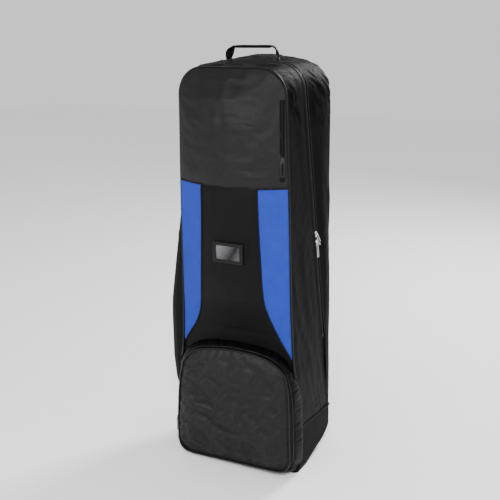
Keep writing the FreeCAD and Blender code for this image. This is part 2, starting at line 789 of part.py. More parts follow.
def make_handle():
    """A webbing loop whose round ends turn on the two patches sewn to the top."""
    low = "shell_height + handle_patch_thick + handle_play"
    top = "shell_height + handle_rise"
    outer = [("handle_foot_x", low), ("handle_foot_x", f"{low} + handle_leg_rise"), ("handle_grip_x", top)]
    inner = [(f"handle_foot_x - webbing_thick", low),
             (f"handle_foot_x - webbing_thick", f"{low} + handle_leg_rise - inner_bend_drop"),
             ("handle_grip_x - webbing_thick", f"{top} - webbing_thick")]
    half = outer[::-1] + inner
    other = [(f"-({x})", z) for x, z in half]
    loop = prism("top_handle_loop", "XZ", [half + other[::-1]], "-webbing_half_width", "webbing_half_width")
    round_corners(loop, "XZ", "handle_bend", [outer[2], other[0]])
    width = [("-webbing_half_width", low), ("webbing_half_width", low),
             ("webbing_half_width", f"{top} + 1"), ("-webbing_half_width", f"{top} + 1")]
    tongue = prism("top_handle_tongue", "YZ", [width], "-reach", "reach")
    round_corners(tongue, "YZ", "webbing_half_width - 0.1", width[:2])
    keep(combine("Common", "top_handle", loop, tongue))
    patches = []
    for side, sign in SIGN.items():
        x = (f"{sign}(patch_x - patch_half_x)", f"{sign}(patch_x + patch_half_x)")
        patches.append(block("handle_patch_" + side, x, ("-patch_half_y", "patch_half_y"),
                             ("shell_height", "shell_height + handle_patch_thick")))
    keep(combine("Compound", "handle_patches", *patches))


def wheel_housing(side):
    """A moulded box open below and behind, with a riveted flange and a through axle."""
    label = "wheel_housing_" + side
    x = f"{SIGN[side]}wheel_x"
    inside = ("slot_half_width", "wall", "slot_height")
    shell = block(label + "_box", (f"{x} - slot_half_width - housing_wall",
                                   f"{x} + slot_half_width + housing_wall"),
                  ("slot_front - housing_wall", "back_y - wall"), ("wall", "slot_height + housing_wall"))
    flange = block(label + "_flange", (f"{x} - flange_half_width", f"{x} + flange_half_width"),
                   ("back_y - wall - flange_thick", "back_y - wall"), ("wall", "flange_height"))
    outside = combine("MultiFuse", label + "_outside", shell, flange)
    slot = block(label + "_slot", (f"{x} - {inside[0]}", f"{x} + {inside[0]}"),
                 ("slot_front", "back_y"), ("0", inside[2]))
    hollow = combine("Cut", label + "_hollow", outside, slot)
    start = (f"{x} - flange_half_width", "wheel_y", "wheel_radius + wheel_lift")
    hole = rod(label + "_hole", "axle_radius + axle_play", start, "2 * flange_half_width", (1, 0, 0))
    return combine("Cut", label, hollow, hole)


def wheel_ring(label, side, outer, inner):
    """A ring around the axle: the hub or the tyre."""
    start = (f"{SIGN[side]}wheel_x - wheel_half_width", "wheel_y", "wheel_radius + wheel_lift")
    disc = rod(label + "_disc", outer, start, "2 * wheel_half_width", (1, 0, 0))
    bore = rod(label + "_bore", inner, start, "2 * wheel_half_width", (1, 0, 0))
    return combine("Cut", label, disc, bore)


def make_tyre(side):
    ring = wheel_ring(f"wheel_tyre_{side}_ring", side, "wheel_radius", "hub_radius")
    tyre = doc.addObject("Part::Fillet", "wheel_tyre_" + side)
    tyre.Base = ring
    radius = value("tyre_round")
    rims = [number for number, edge in enumerate(ring.Shape.Edges, start=1)
            if isinstance(edge.Curve, Part.Circle) and edge.Curve.Radius > value("hub_radius") + 1]
    tyre.Edges = [(number, radius, radius) for number in rims]
    doc.recompute()
    return tyre


def make_wheels():
    axles = []
    rivets = []
    for side in SIGN:
        x = f"{SIGN[side]}wheel_x"
        keep(wheel_housing(side))
        keep(wheel_ring("wheel_hub_" + side, side, "hub_radius", "axle_radius + axle_play"))
        keep(make_tyre(side))
        half = "(slot_half_width + housing_wall)"
        start = (f"{x} - {half}", "wheel_y", "wheel_radius + wheel_lift")
        axles.append(rod("axle_" + side, "axle_radius", start, f"2 * {half}", (1, 0, 0)))
        for sign in "-+":
            for height in ("rivet_low", "rivet_high"):
                rivets.append(rivet(f"rivet_{len(rivets)}", f"{x} {sign} rivet_offset", height))
    keep(combine("Compound", "wheel_axles", *axles))
    keep(combine("Compound", "housing_rivets", *rivets))


def rivet(label, x, height):
    start = (x, "back_y - wall - flange_thick", height)
    shank = rod(label + "_shank", "rivet_radius", start, "wall + flange_thick", (0, 1, 0))
    head = rod(label + "_head", "rivet_head_radius", (x, "back_y", height), "rivet_head_thick", (0, 1, 0))
    return combine("MultiFuse", label, shank, head)


def make_straps():
    """Two buckled straps lying flat against the inside of the back."""
    rear = "back_y - wall"
    front = f"{rear} - strap_thick"
    webbings = []
    sockets = []
    for name in ("upper", "lower"):
        height = name + "_strap_height"
        z = (f"{height} - strap_half_width", f"{height} + strap_half_width")
        for side, sign in SIGN.items():
            x = (f"{sign}strap_middle_x", f"{sign}strap_end_x")
            webbings.append(block(f"strap_{name}_{side}", x, (front, rear), z))
        sockets.append(buckle_socket(name, height, front))
        keep(buckle_plug(name, height, front))
    keep(combine("Compound", "compression_straps", *webbings))
    keep(combine("Compound", "buckle_sockets", *sockets))


def buckle_socket(name, height, rear):
    """The fixed half of a buckle, open towards +X for the prongs."""
    label = "buckle_socket_" + name
    front = f"{rear} - buckle_thick"
    shell = block(label + "_shell", ("-buckle_length", "0"), (front, rear),
                  (f"{height} - buckle_half_width", f"{height} + buckle_half_width"))
    tunnel = block(label + "_tunnel", ("buckle_wall - buckle_length", "1"),
                   (f"{front} + buckle_wall", f"{rear} - buckle_wall"),
                   (f"{height} - buckle_half_width + buckle_side",
                    f"{height} + buckle_half_width - buckle_side"))
    return combine("Cut", label, shell, tunnel)


def buckle_plug(name, height, rear):
    """The loose half: a body on the webbing and two prongs that reach into the socket."""
    label = name + "_buckle_plug"
    front = f"{rear} - buckle_thick"
    body = new_body(label)
    low = f"{height} - buckle_half_width"
    high = f"{height} + buckle_half_width"
    grip = [("buckle_play", low), ("male_length", low), ("male_length", high), ("buckle_play", high)]
    add_pad(body, label + "_grip", "XZ", [grip], front, f"{rear} - buckle_play")
    for sign in "-+":
        inner = f"{height} {sign} prong_inner"
        outer = f"{height} {sign} prong_outer"
        prong = [("-prong_length", inner), ("prong_root", inner), ("prong_root", outer), ("-prong_length", outer)]
        tag = "low" if sign == "-" else "high"
        add_pad(body, f"{label}_{tag}", "XZ", [prong], f"{front} + buckle_wall + buckle_play",
                f"{rear} - buckle_wall - buckle_play")
    return body


def make_pad():
    """The foam block that rests behind the club heads."""
    rear = "back_y - wall"
    keep(block("club_head_pad", ("-pad_half_width", "pad_half_width"), (f"{rear} - pad_thick", rear),
               ("pad_low", "pad_high")))


# ---------------------------------------------------------------- build and write

make_base()
make_boots()
make_rear_shell()
make_lower_front()
make_front_cover()
make_main_zip()
make_top_pocket_zip()
make_window()
make_shoe_pocket()
make_side_pocket()
make_sliders()
make_handle()
make_wheels()
make_straps()
make_pad()

doc.recompute()
for thing in doc.Objects:
    if "Invalid" in thing.State or "Error" in thing.State:
        raise RuntimeError(f"{thing.Label} did not build")
for piece in pieces:
    if piece.Shape.isNull() or not piece.Shape.isValid():
        raise RuntimeError(f"{piece.Label} has no sound shape")

os.makedirs("parts", exist_ok=True)
for piece in pieces:
    piece.Shape.exportStep(f"parts/{piece.Label}.step")
    print(piece.Label, len(piece.Shape.Solids), round(piece.Shape.Volume))
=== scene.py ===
import json
import math
import bpy
from mathutils import Matrix, Vector, noise


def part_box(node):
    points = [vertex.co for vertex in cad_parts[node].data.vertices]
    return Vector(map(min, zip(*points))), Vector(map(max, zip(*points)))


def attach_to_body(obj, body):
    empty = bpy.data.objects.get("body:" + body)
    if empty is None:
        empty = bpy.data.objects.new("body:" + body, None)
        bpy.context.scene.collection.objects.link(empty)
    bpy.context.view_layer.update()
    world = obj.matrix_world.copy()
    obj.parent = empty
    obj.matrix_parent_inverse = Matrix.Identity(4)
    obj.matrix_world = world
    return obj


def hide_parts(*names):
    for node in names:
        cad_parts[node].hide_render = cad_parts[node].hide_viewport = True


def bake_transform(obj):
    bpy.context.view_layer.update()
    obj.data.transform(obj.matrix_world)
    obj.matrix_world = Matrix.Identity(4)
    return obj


# Golf travel case. Metres; the front faces -Y and +X is to the right of someone facing it.

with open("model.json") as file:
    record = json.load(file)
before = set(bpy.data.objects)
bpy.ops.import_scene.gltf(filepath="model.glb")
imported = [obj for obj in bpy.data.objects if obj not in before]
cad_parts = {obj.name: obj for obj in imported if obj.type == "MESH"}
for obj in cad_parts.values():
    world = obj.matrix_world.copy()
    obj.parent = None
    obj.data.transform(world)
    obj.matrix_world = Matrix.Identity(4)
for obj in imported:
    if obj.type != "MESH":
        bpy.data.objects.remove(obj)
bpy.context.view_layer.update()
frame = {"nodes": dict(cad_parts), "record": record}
INSIDE = Vector((0, 0, 0.6))

FRONT_Y = -0.137
BACK_Y = 0.137
BOOT_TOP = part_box("back_panel")[0][2]
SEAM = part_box("upper_front_panel")[0][2]
BLEND_START = (0, FRONT_Y, 0.4455)
# thickness of a cloth wall
SKIN = 0.0025
TAIL_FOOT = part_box("main_zip_rear")[0][2]
ZIP_FOOT_LEFT = 0.470
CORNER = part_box("front_gusset_right")[1][2]
# the walls start a little below the boot's top seam
WALL_FOOT = 0.122
# from the main zip's middle to the cloth beside it
ZIP_GAP = 0.0092
# above this height the front edge turns in to the top
FRONT_TURN = 1.17


# ---------- camera, light and floor ----------

def make_camera():
    """The camera stands to the front right and looks slightly down."""
    azimuth, tilt, roll = math.radians(28.57), math.radians(16.02), math.radians(-0.884)
    back = Vector((math.sin(azimuth) * math.cos(tilt), -math.cos(azimuth) * math.cos(tilt), math.sin(tilt)))
    right = Vector((math.cos(azimuth), math.sin(azimuth), 0))
    up = back.cross(right)
    across = right * math.cos(roll) + up * math.sin(roll)
    upright = up * math.cos(roll) - right * math.sin(roll)
    data = bpy.data.cameras.new("camera")
    data.sensor_width = 36
    data.lens = 57.56
    camera = bpy.data.objects.new("camera", data)
    bpy.context.scene.collection.objects.link(camera)
    turn = Matrix((across, upright, back)).transposed().to_4x4()
    camera.matrix_world = Matrix.Translation((1.153, -2.157, 1.378)) @ turn
    bpy.context.scene.camera = camera


def make_light(name, place, target, size, power):
    data = bpy.data.lights.new(name, "AREA")
    data.size = size
    data.energy = power
    lamp = bpy.data.objects.new(name, data)
    lamp.location = place
    lamp.rotation_euler = (Vector(target) - Vector(place)).to_track_quat("-Z", "Y").to_euler()
    bpy.context.scene.collection.objects.link(lamp)


def make_studio():
    world = bpy.data.worlds.new("studio")
    world.use_nodes = True
    background = world.node_tree.nodes["Background"]
    background.inputs["Color"].default_value = (1, 1, 1, 1)
    background.inputs["Strength"].default_value = 0.95
    bpy.context.scene.world = world
    make_light("key", (1.5, -3.0, 2.8), (0, 0, 0.8), 0.9, 150)
    make_light("low_fill", (-0.9, -3.5, 0.9), (0, 0, 0.6), 1.1, 40)
    make_light("rim", (0.9, 2.8, 2.8), (0, 0, 1.2), 0.9, 160)
    half = 9
    mesh = bpy.data.meshes.new("floor")
    corners = [(-half, -half, 0), (half, -half, 0), (half, half, 0), (-half, half, 0)]
    mesh.from_pydata(corners, [], [(0, 1, 2, 3)])
    floor = bpy.data.objects.new("floor", mesh)
    bpy.context.scene.collection.objects.link(floor)
    floor.data.materials.append(paint("floor_white", (0.95, 0.95, 0.95), 0.9))


# ---------- materials ----------

def new_material(name, colour, roughness):
    material = bpy.data.materials.new(name)
    material.use_nodes = True
    shader = material.node_tree.nodes["Principled BSDF"]
    shader.inputs["Base Color"].default_value = (*colour, 1)
    shader.inputs["Roughness"].default_value = roughness
    return material, material.node_tree, shader


def clouds(tree, scale, detail=2):
    """Soft noise on the object's own coordinates."""
    place = tree.nodes.new("ShaderNodeTexCoord")
    texture = tree.nodes.new("ShaderNodeTexNoise")
    texture.inputs["Scale"].default_value = scale
    texture.inputs["Detail"].default_value = detail
    tree.links.new(place.outputs["Object"], texture.inputs["Vector"])
    return texture.outputs["Fac"]


def distance_along(tree, direction):
    """How far a point lies along a direction, in the object's own coordinates."""
    place = tree.nodes.new("ShaderNodeTexCoord")
    along = tree.nodes.new("ShaderNodeVectorMath")
    along.operation = "DOT_PRODUCT"
    along.inputs[1].default_value = direction
    tree.links.new(place.outputs["Object"], along.inputs[0])
    return along.outputs["Value"]


def calculate(tree, operation, first, second=None, clamp=False):
    """One step of arithmetic on a socket. second is a number or another socket."""
    node = tree.nodes.new("ShaderNodeMath")
    node.operation = operation
    node.use_clamp = clamp
    tree.links.new(first, node.inputs[0])
    if isinstance(second, (int, float)):
        node.inputs[1].default_value = second
    elif second is not None:
        tree.links.new(second, node.inputs[1])
    return node.outputs[0]


def blend_colours(tree, shader, factor, low, high):
    """The base colour goes from low to high with the factor."""
    ramp = tree.nodes.new("ShaderNodeMix")
    ramp.data_type = "RGBA"
    ramp.inputs["A"].default_value = (*low, 1)
    ramp.inputs["B"].default_value = (*high, 1)
    tree.links.new(factor, ramp.inputs["Factor"])
    tree.links.new(ramp.outputs["Result"], shader.inputs["Base Color"])


def vary(tree, shader, factor, colour, amount):
    """Moves the base colour up and down by the given share, following a texture."""
    low = [part * (1 - amount) for part in colour]
    high = [min(1, part * (1 + amount)) for part in colour]
    blend_colours(tree, shader, factor, low, high)


def raise_surface(tree, shader, height, distance, strength, below=None):
    """A bump on the shader, on top of an earlier one if below is given."""
    bump = tree.nodes.new("ShaderNodeBump")
    bump.inputs["Distance"].default_value = distance
    bump.inputs["Strength"].default_value = strength
    tree.links.new(height, bump.inputs["Height"])
    if below is not None:
        tree.links.new(below, bump.inputs["Normal"])
    tree.links.new(bump.outputs["Normal"], shader.inputs["Normal"])
    return bump.outputs["Normal"]


def paint(name, colour, roughness):
    """A plain finish with a faint cloudiness in its colour."""
    material, tree, shader = new_material(name, colour, roughness)
    vary(tree, shader, clouds(tree, 9), colour, 0.01)
    return material


def thread_waves(tree, pitch):
    """Two sets of threads that cross on any side of the case, as one height."""
    waves = []
    for direction in ((1, 1, 0), (0.7, -0.7, 1)):
        turns = calculate(tree, "MULTIPLY", distance_along(tree, direction), 2 * math.pi / pitch)
        waves.append(calculate(tree, "SINE", turns))
    return calculate(tree, "ADD", *waves)


def fabric(name, colour, pitch=0.0011, depth=0.00016, roughness=0.46, sheen=0.0, crumple=0.0004, shine=0.085):
    """Woven cloth: threads at the given pitch, soft crumpling and a faint change of shade."""
    material, tree, shader = new_material(name, colour, roughness)
    shader.inputs["Sheen Weight"].default_value = sheen
    shader.inputs["Sheen Roughness"].default_value = 0.45
    shader.inputs["Specular IOR Level"].default_value = shine
    weave = raise_surface(tree, shader, thread_waves(tree, pitch), depth, 0.5)
    crumpling = clouds(tree, 32, 5)
    raise_surface(tree, shader, crumpling, crumple * 6, 0.45, weave)
    vary(tree, shader, crumpling, colour, 0.18)
    return material


def plastic(name, colour, roughness, grain=260, depth=0.0001):
    """A moulded finish with a fine grain."""
    material, tree, shader = new_material(name, colour, roughness)
    speckle = clouds(tree, grain)
    raise_surface(tree, shader, speckle, depth, 0.4)
    vary(tree, shader, speckle, colour, 0.08)
    return material


def metal(name, colour, roughness):
    material = plastic(name, colour, roughness, 180, 0.00003)
    shader = material.node_tree.nodes["Principled BSDF"]
    shader.inputs["Metallic"].default_value = 1
    return material


def clear_vinyl(name):
    material = plastic(name, (0.02, 0.02, 0.021), 0.12, 40, 0.0001)
    shader = material.node_tree.nodes["Principled BSDF"]
    shader.inputs["Specular IOR Level"].default_value = 0.25
    shader.inputs["Alpha"].default_value = 0.10
    return material


def card_paper(name):
    """Grey card with a dark diagonal band, light to the left of it and at the lower right corner."""
    material, tree, shader = new_material(name, (0.4, 0.4, 0.41), 0.6)
    shader.inputs["Specular IOR Level"].default_value = 0.1
    card_height, rise = 0.712, 6
    from_band = calculate(tree, "ADD", distance_along(tree, (-9, 0, rise)), 0.15 - rise * card_height)
    share = calculate(tree, "MULTIPLY", calculate(tree, "ABSOLUTE", from_band), 1.5, clamp=True)
    blend_colours(tree, shader, share, (0.008, 0.008, 0.009), (0.22, 0.22, 0.23))
    return material


def make_materials():
    black = (0.0024, 0.0024, 0.0027)
    return {
        "shell_black": fabric("case_black_cloth", black),
        "light_catching_black": fabric("pocket_black_cloth", black, roughness=0.38, shine=0.2),
        # a darker copy of the case cloth for the shoe pocket's gathered side: painted shade in the recess
        # between the case and the pocket's face
        "gather_black": fabric("gathered_cloth_painted_shade", (0.0014, 0.0014, 0.0016), roughness=0.42, shine=0.055),
        # a darker, duller copy of the case cloth for the walls: painted shade, the walls darkened for how the
        # light falls on them
        "side_black": fabric("case_side_black_cloth", (0.0013, 0.0013, 0.0015), roughness=0.48, shine=0.034),
        # the boot's heavier weave is its own; its darker, duller colour is painted shade for the boot's side
        # turned from the light
        "boot_black": fabric("boot_black_cloth", (0.001, 0.001, 0.0011), 0.0019, 0.0004, 0.5, shine=0.024),
        "panel_blue": fabric("panel_blue_cloth", (0.0175, 0.039, 0.285), 0.0011, 0.00012, 0.8, 0.02, 0.0002),
        "lining_grey": fabric("lining_grey_cloth", (0.045, 0.045, 0.05), 0.0008, 0.0001),
        "piping_black": fabric("piping_black_cloth", (0.0022, 0.0022, 0.0025), 0.0007, 0.0001, 0.3,
                               crumple=0.0002, shine=0.16),
        "zip_black": fabric("zip_tape_black", (0.0018, 0.0018, 0.002), 0.0009, 0.00012, 0.7),
        "webbing_black": fabric("webbing_black", (0.003, 0.003, 0.0034), 0.0024, 0.0006, 0.5),
        "teeth_black": plastic("zip_teeth_black", (0.003, 0.003, 0.0034), 0.4),
        "thread_black": plastic("thread_black", (0.009, 0.009, 0.01), 0.55),
        "window_clear": clear_vinyl("window_clear_vinyl"),
        "card_grey": card_paper("card_grey_paper"),
        "board_plastic": plastic("board_dark_plastic", (0.02, 0.02, 0.022), 0.55),
        "housing_plastic": plastic("housing_black_plastic", (0.011, 0.011, 0.012), 0.42),
        "hub_plastic": plastic("hub_grey_plastic", (0.05, 0.05, 0.055), 0.4),
        "tyre_rubber": plastic("tyre_black_rubber", (0.009, 0.009, 0.01), 0.7, 320, 0.0002),
        "axle_steel": metal("axle_brushed_steel", (0.55, 0.56, 0.58), 0.32),
        "foam_grey": fabric("pad_grey_mesh", (0.06, 0.06, 0.065), 0.0026, 0.0006),
        "slider_silver": metal("slider_polished_silver", (0.78, 0.78, 0.8), 0.22),
        "slider_black": plastic("slider_black_enamel", (0.01, 0.01, 0.011), 0.3),
    }


# ---------- small helpers ----------

def mix(low, high, share):
    return low + (high - low) * share


def ease(share):
    share = min(1, max(0, share))
    return share * share * (3 - 2 * share)


def spread(low, high, steps):
    return [mix(low, high, i / steps) for i in range(steps + 1)]


def to_both_ends(share):
    """From -1 to 1, with the steps closer together towards both ends."""
    return math.sin((2 * share - 1) * math.pi / 2)


def to_far_end(share, straight=0.6):
    """From 0 to 1, with the steps closer together towards 1."""
    return share * straight + (1 - straight) * math.sin(share * math.pi / 2)


def read_curve(knots, at):
    """The value at a position along a list of (position, value) pairs, straight between them."""
    if at <= knots[0][0]:
        return knots[0][1]
    for (low, first), (high, second) in zip(knots, knots[1:]):
        if at <= high:
            return mix(first, second, (at - low) / (high - low))
    return knots[-1][1]


def smooth_path(knots, count):
    """count + 1 points, evenly spaced along a smooth line through the knots."""
    points = [Vector(knot) for knot in knots]
    dense = []
    for i in range(len(points) - 1):
        before = points[max(0, i - 1)]
        after = points[min(len(points) - 1, i + 2)]
        here, there = points[i], points[i + 1]
        for step in range(16):
            t = step / 16
            second = (2 * before - 5 * here + 4 * there - after) * t * t
            third = (3 * here - before - 3 * there + after) * t * t * t
            dense.append(0.5 * ((2 * here) + (there - before) * t + second + third))
    dense.append(points[-1])
    return even_path(dense, count)


def flat_path(pairs, count):
    """A smooth line through pairs of numbers."""
    return smooth_path([(a, b, 0) for a, b in pairs], count)


def loop_of(bottom, right, top, left):
    """Four edges as one loop, anticlockwise from the lower left corner."""
    return bottom[:-1] + right[:-1] + list(reversed(top))[:-1] + list(reversed(left))[:-1]


def even_path(dense, count):
    """count + 1 points, evenly spaced along straight pieces."""
    lengths = [0]
    for first, second in zip(dense, dense[1:]):
        lengths.append(lengths[-1] + (second - first).length)
    result = []
    at = 0
    for i in range(count + 1):
        goal = lengths[-1] * i / count
        while at < len(dense) - 2 and lengths[at + 1] < goal:
            at += 1
        gap = lengths[at + 1] - lengths[at]
        share = (goal - lengths[at]) / gap if gap > 1e-9 else 0
        result.append(dense[at].lerp(dense[at + 1], min(1, max(0, share))))
    return result


def mesh_object(name, points, faces):
    mesh = bpy.data.meshes.new(name)
    mesh.from_pydata([tuple(point) for point in points], [], faces)
    mesh.update()
    mesh.shade_smooth()
    piece = bpy.data.objects.new(name, mesh)
    bpy.context.scene.collection.objects.link(piece)
    return piece


def sheet_of(name, rows, columns, place, inside=INSIDE, skip=None, closed=False):
    """A surface of rows by columns. place gives each point from two shares; it faces away from inside."""
    points = [place(i / rows, j / columns) for i in range(rows + 1) for j in range(columns + 1)]
    faces = []
    facing = 0
    width = columns + 1
    for i in range(rows):
        for j in range(columns):
            face = (i * width + j, i * width + j + 1, (i + 1) * width + j + 1, (i + 1) * width + j)
            corners = [points[k] for k in face]
            middle = (corners[0] + corners[2]) / 2
            if skip and skip(middle):
                continue
            faces.append(face)
            facing += (corners[2] - corners[0]).cross(corners[3] - corners[1]).dot(middle - inside)
    if facing < 0:
        faces = [tuple(reversed(face)) for face in faces]
    piece = mesh_object(name, points, faces)
    if closed:
        weld(piece)
    return piece


def weld(piece):
    modifier = piece.modifiers.new("weld", "WELD")
    modifier.merge_threshold = 0.00002
    bake(piece)


def bake(piece):
    """The modifiers' result becomes the mesh."""
    graph = bpy.context.evaluated_depsgraph_get()
    mesh = bpy.data.meshes.new_from_object(piece.evaluated_get(graph))
    piece.modifiers.clear()
    piece.data = mesh
    piece.data.shade_smooth()


def thicken(piece, depth, lined=False):
    """Gives the surface depth on its inner side, in the second material if it is lined."""
    modifier = piece.modifiers.new("depth", "SOLIDIFY")
    modifier.thickness = depth
    modifier.offset = -1
    if lined:
        modifier.material_offset = 1
    bake(piece)


def attach(piece, slot, body, nodes, across_fold):
    """The slot (not used), the CAD body that the piece moves with and the CAD nodes it stands for."""
    if across_fold:
        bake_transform(piece)
    else:
        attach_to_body(piece, body)
    if nodes:
        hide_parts(*nodes)


def finish(piece, slot, body, nodes=(), across_fold=False):
    """A piece of one material, attached to its body."""
    piece.data.materials.clear()
    piece.data.materials.append(MATERIALS[slot])
    attach(piece, slot if slot in RECORD_SLOTS else "zip_black", body, nodes, across_fold)


def cloth_skin(piece, slot, body, nodes=(), across_fold=False, depth=SKIN, look=None):
    """A wall of cloth with grey lining inside. look names another material than the slot's own."""
    piece.data.materials.append(MATERIALS[look or slot])
    piece.data.materials.append(MATERIALS["lining_grey"])
    thicken(piece, depth, lined=True)
    attach(piece, slot, body, nodes, across_fold)


def cord_of(name, path, radius, sides=8, closed=False):
    """A round bead along a path."""
    points, faces = [], []
    count = len(path)
    lean = Vector((0.31, 0.17, 0.93)).normalized()
    for i, point in enumerate(path):
        after = path[(i + 1) % count] if closed or i < count - 1 else point
        before = path[i - 1] if closed or i > 0 else point
        along = (after - before).normalized()
        first = along.cross(lean)
        if first.length < 0.2:
            first = along.cross(Vector((1, 0, 0)))
        first.normalize()
        second = along.cross(first)
        for k in range(sides):
            turn = 2 * math.pi * k / sides
            points.append(point + first * (radius * math.cos(turn)) + second * (radius * math.sin(turn)))
    rings = count if closed else count - 1
    for i in range(rings):
        for k in range(sides):
            ring, following = i * sides, ((i + 1) % count) * sides
            faces.append((ring + k, ring + (k + 1) % sides, following + (k + 1) % sides, following + k))
    if not closed:
        faces.append(tuple(reversed(range(sides))))
        faces.append(tuple((count - 1) * sides + k for k in range(sides)))
    return mesh_object(name, points, faces)


def blocks_along(name, path, pitch, size, sway=0):
    """Small tapered blocks at a steady pitch. path holds (point, outward) pairs.

    sway sets the blocks off to alternate sides."""
    points, faces = [], []
    total = sum((b[0] - a[0]).length for a, b in zip(path, path[1:]))
    count = max(2, int(total / pitch))
    centres = even_path([point for point, outward in path], count)
    for i in range(count + 1):
        share = i / count * (len(path) - 1)
        at = min(len(path) - 2, int(share))
        outward = path[at][1].lerp(path[at + 1][1], share - at).normalized()
        along = (centres[min(count, i + 1)] - centres[max(0, i - 1)]).normalized()
        across = along.cross(outward).normalized()
        middle = centres[i] + across * (sway if i % 2 else -sway)
        start = len(points)
        for rise, shrink in ((0, 1), (size[2], 0.6)):
            for a, b in ((-1, -1), (1, -1), (1, 1), (-1, 1)):
                corner = along * (a * size[0] * shrink / 2) + across * (b * size[1] * shrink / 2)
                points.append(middle + corner + outward * rise)
        for face in ((3, 2, 1, 0), (4, 5, 6, 7), (0, 1, 5, 4), (1, 2, 6, 5), (2, 3, 7, 6), (3, 0, 4, 7)):
            faces.append(tuple(start + k for k in face))
    piece = mesh_object(name, points, faces)
    for polygon in piece.data.polygons:
        polygon.use_smooth = False
    return piece


def sew(name, path, pitch, size, body, across_fold=False):
    """A row of stitches."""
    finish(blocks_along(name, path, pitch, size), "thread_black", body, across_fold=across_fold)


def patch_between(bottom, top, left, right):
    """A surface filled in between four edges that meet at their ends."""
    def place(v, u):
        i, j = u * (len(bottom) - 1), v * (len(left) - 1)
        low, high = pick(bottom, i), pick(top, i)
        near, far = pick(left, j), pick(right, j)
        corners = ((bottom[0] * (1 - u) + bottom[-1] * u) * (1 - v) + (top[0] * (1 - u) + top[-1] * u) * v)
        return low * (1 - v) + high * v + near * (1 - u) + far * u - corners
    return place


def pick(path, at):
    """The point at a position that may lie between two entries."""
    low = min(len(path) - 2, int(at))
    return path[low].lerp(path[low + 1], at - low)


def crease(point, size, seed, sharp=1.0):
    """Ridge-like noise between -1 and 1: folds with crests and soft valleys."""
    q = Vector((point[0] / size[0], point[1] / size[1], point[2] / size[2] + seed))
    bend = noise.noise(q * 0.6 + Vector((seed, 3, 7)))
    ridge = 1 - 2 * abs(noise.noise(q + Vector((bend, bend * 0.7, -bend)) * sharp))
    return ridge * 0.7 + noise.noise(q * 2.3) * 0.3


def inflate(piece, pins, pressure, slack, frames=22):
    """Cloth held at its pinned points, cut a little too large, is blown out from behind."""
    group = piece.vertex_groups.new(name="pins")
    group.add(pins, 1.0, "REPLACE")
    cloth = piece.modifiers.new("cloth", "CLOTH")
    settings = cloth.settings
    settings.quality = 7
    settings.mass = 0.25
    settings.vertex_group_mass = "pins"
    settings.use_pressure = True
    settings.uniform_pressure_force = pressure
    settings.shrink_min = -slack
    settings.bending_stiffness = 0.4
    settings.effector_weights.gravity = 0
    cloth.collision_settings.use_collision = False
    scene = bpy.context.scene
    for step in range(1, frames + 1):
        scene.frame_set(step)
    bake(piece)
    scene.frame_set(1)
    piece.vertex_groups.clear()


# ---------- shape of the case ----------

# half width of the front edge, and of the rear, at each height
FRONT_HALF = [(0, 0.211), (0.25, 0.209), (0.317, 0.205), (0.36, 0.198), (0.42, 0.1945), (0.52, 0.190),
              (0.61, 0.188), (0.75, 0.1855), (0.912, 0.1825), (1.14, 0.1765), (1.25, 0.1755)]
REAR_HALF = [(0, 0.206), (0.04, 0.211), (0.3, 0.2105), (0.6, 0.2065), (0.9, 0.2035), (1.185, 0.2005)]
REAR_FULL_Y = 0.085
BACK_ROUND = 0.038
HEEL_ROUND = 0.070

FRONT_TOP = {"level": 1.250, "round": 0.080, "dome": 0.0}
MIDDLE_TOP = {"level": 1.2595, "round": 0.080, "dome": 0.0}
REAR_TOP = {"level": 1.236, "round": 0.062, "dome": 0.038}


def cad_half(height):
    return 0.2132 - 0.0245 * height


def zip_y(side, height):
    """The main zip leans back on its way down the right, and forward on the left."""
    drop = max(0, CORNER - height)
    return -0.030 + drop * (0.1274 if side > 0 else -0.105)


def depth_shares(side, y, height):
    """Shares of the front, middle and rear shapes at a depth, and how far the back edge is rounded in."""
    middle = zip_y(side, height)
    if y < middle:
        share = ease((y - FRONT_Y) / (middle - FRONT_Y)) * 0.5 + 0.5 * (y - FRONT_Y) / (middle - FRONT_Y)
        shares = (1 - share, share, 0)
    else:
        share = ease((y - middle) / (REAR_FULL_Y - middle)) if middle < REAR_FULL_Y else 1
        shares = (0, 1 - share, share)
    past = max(0, y - (BACK_Y - BACK_ROUND))
    inset = BACK_ROUND - math.sqrt(max(0, BACK_ROUND ** 2 - past ** 2))
    return shares, inset


def half_width(side, y, height):
    (front, middle, rear), inset = depth_shares(side, y, height)
    width = front * read_curve(FRONT_HALF, height) + middle * cad_half(height)
    return width + rear * read_curve(REAR_HALF, height) - inset


def top_shape(y):
    (front, middle, rear), inset = depth_shares(1, y, CORNER)
    shape = {}
    for key in FRONT_TOP:
        shape[key] = front * FRONT_TOP[key] + middle * MIDDLE_TOP[key] + rear * REAR_TOP[key]
    shape["level"] -= inset
    return shape


SIDE_HEEL = [(-0.137, 0.003), (-0.12, 0.0), (-0.06, 0.0), (-0.02, 0.012), (0.02, 0.021), (0.06, 0.028),
             (0.09, 0.043), (0.115, 0.065), (0.137, 0.105)]


def heel(y, x=0.2):
    """Height of the underside: level, then curving up to the back, sooner at the sides."""
    past = min(HEEL_ROUND, max(0, y - (BACK_Y - HEEL_ROUND)))
    middle = HEEL_ROUND - math.sqrt(HEEL_ROUND ** 2 - past ** 2)
    return mix(middle, read_curve(SIDE_HEEL, y), ease((abs(x) - 0.154) / 0.024))


def boot_seam(y):
    """The boot's top seam drops a little towards the back."""
    return BOOT_TOP - 0.017 * max(0, y + 0.1) / 0.19


def front_corner(y):
    """How far the lower front corners are drawn in."""
    past = min(0.02, max(0, -0.118 - y))
    return 0.02 - math.sqrt(0.02 ** 2 - past ** 2)


LEG, BEND = 0.40, 0.05


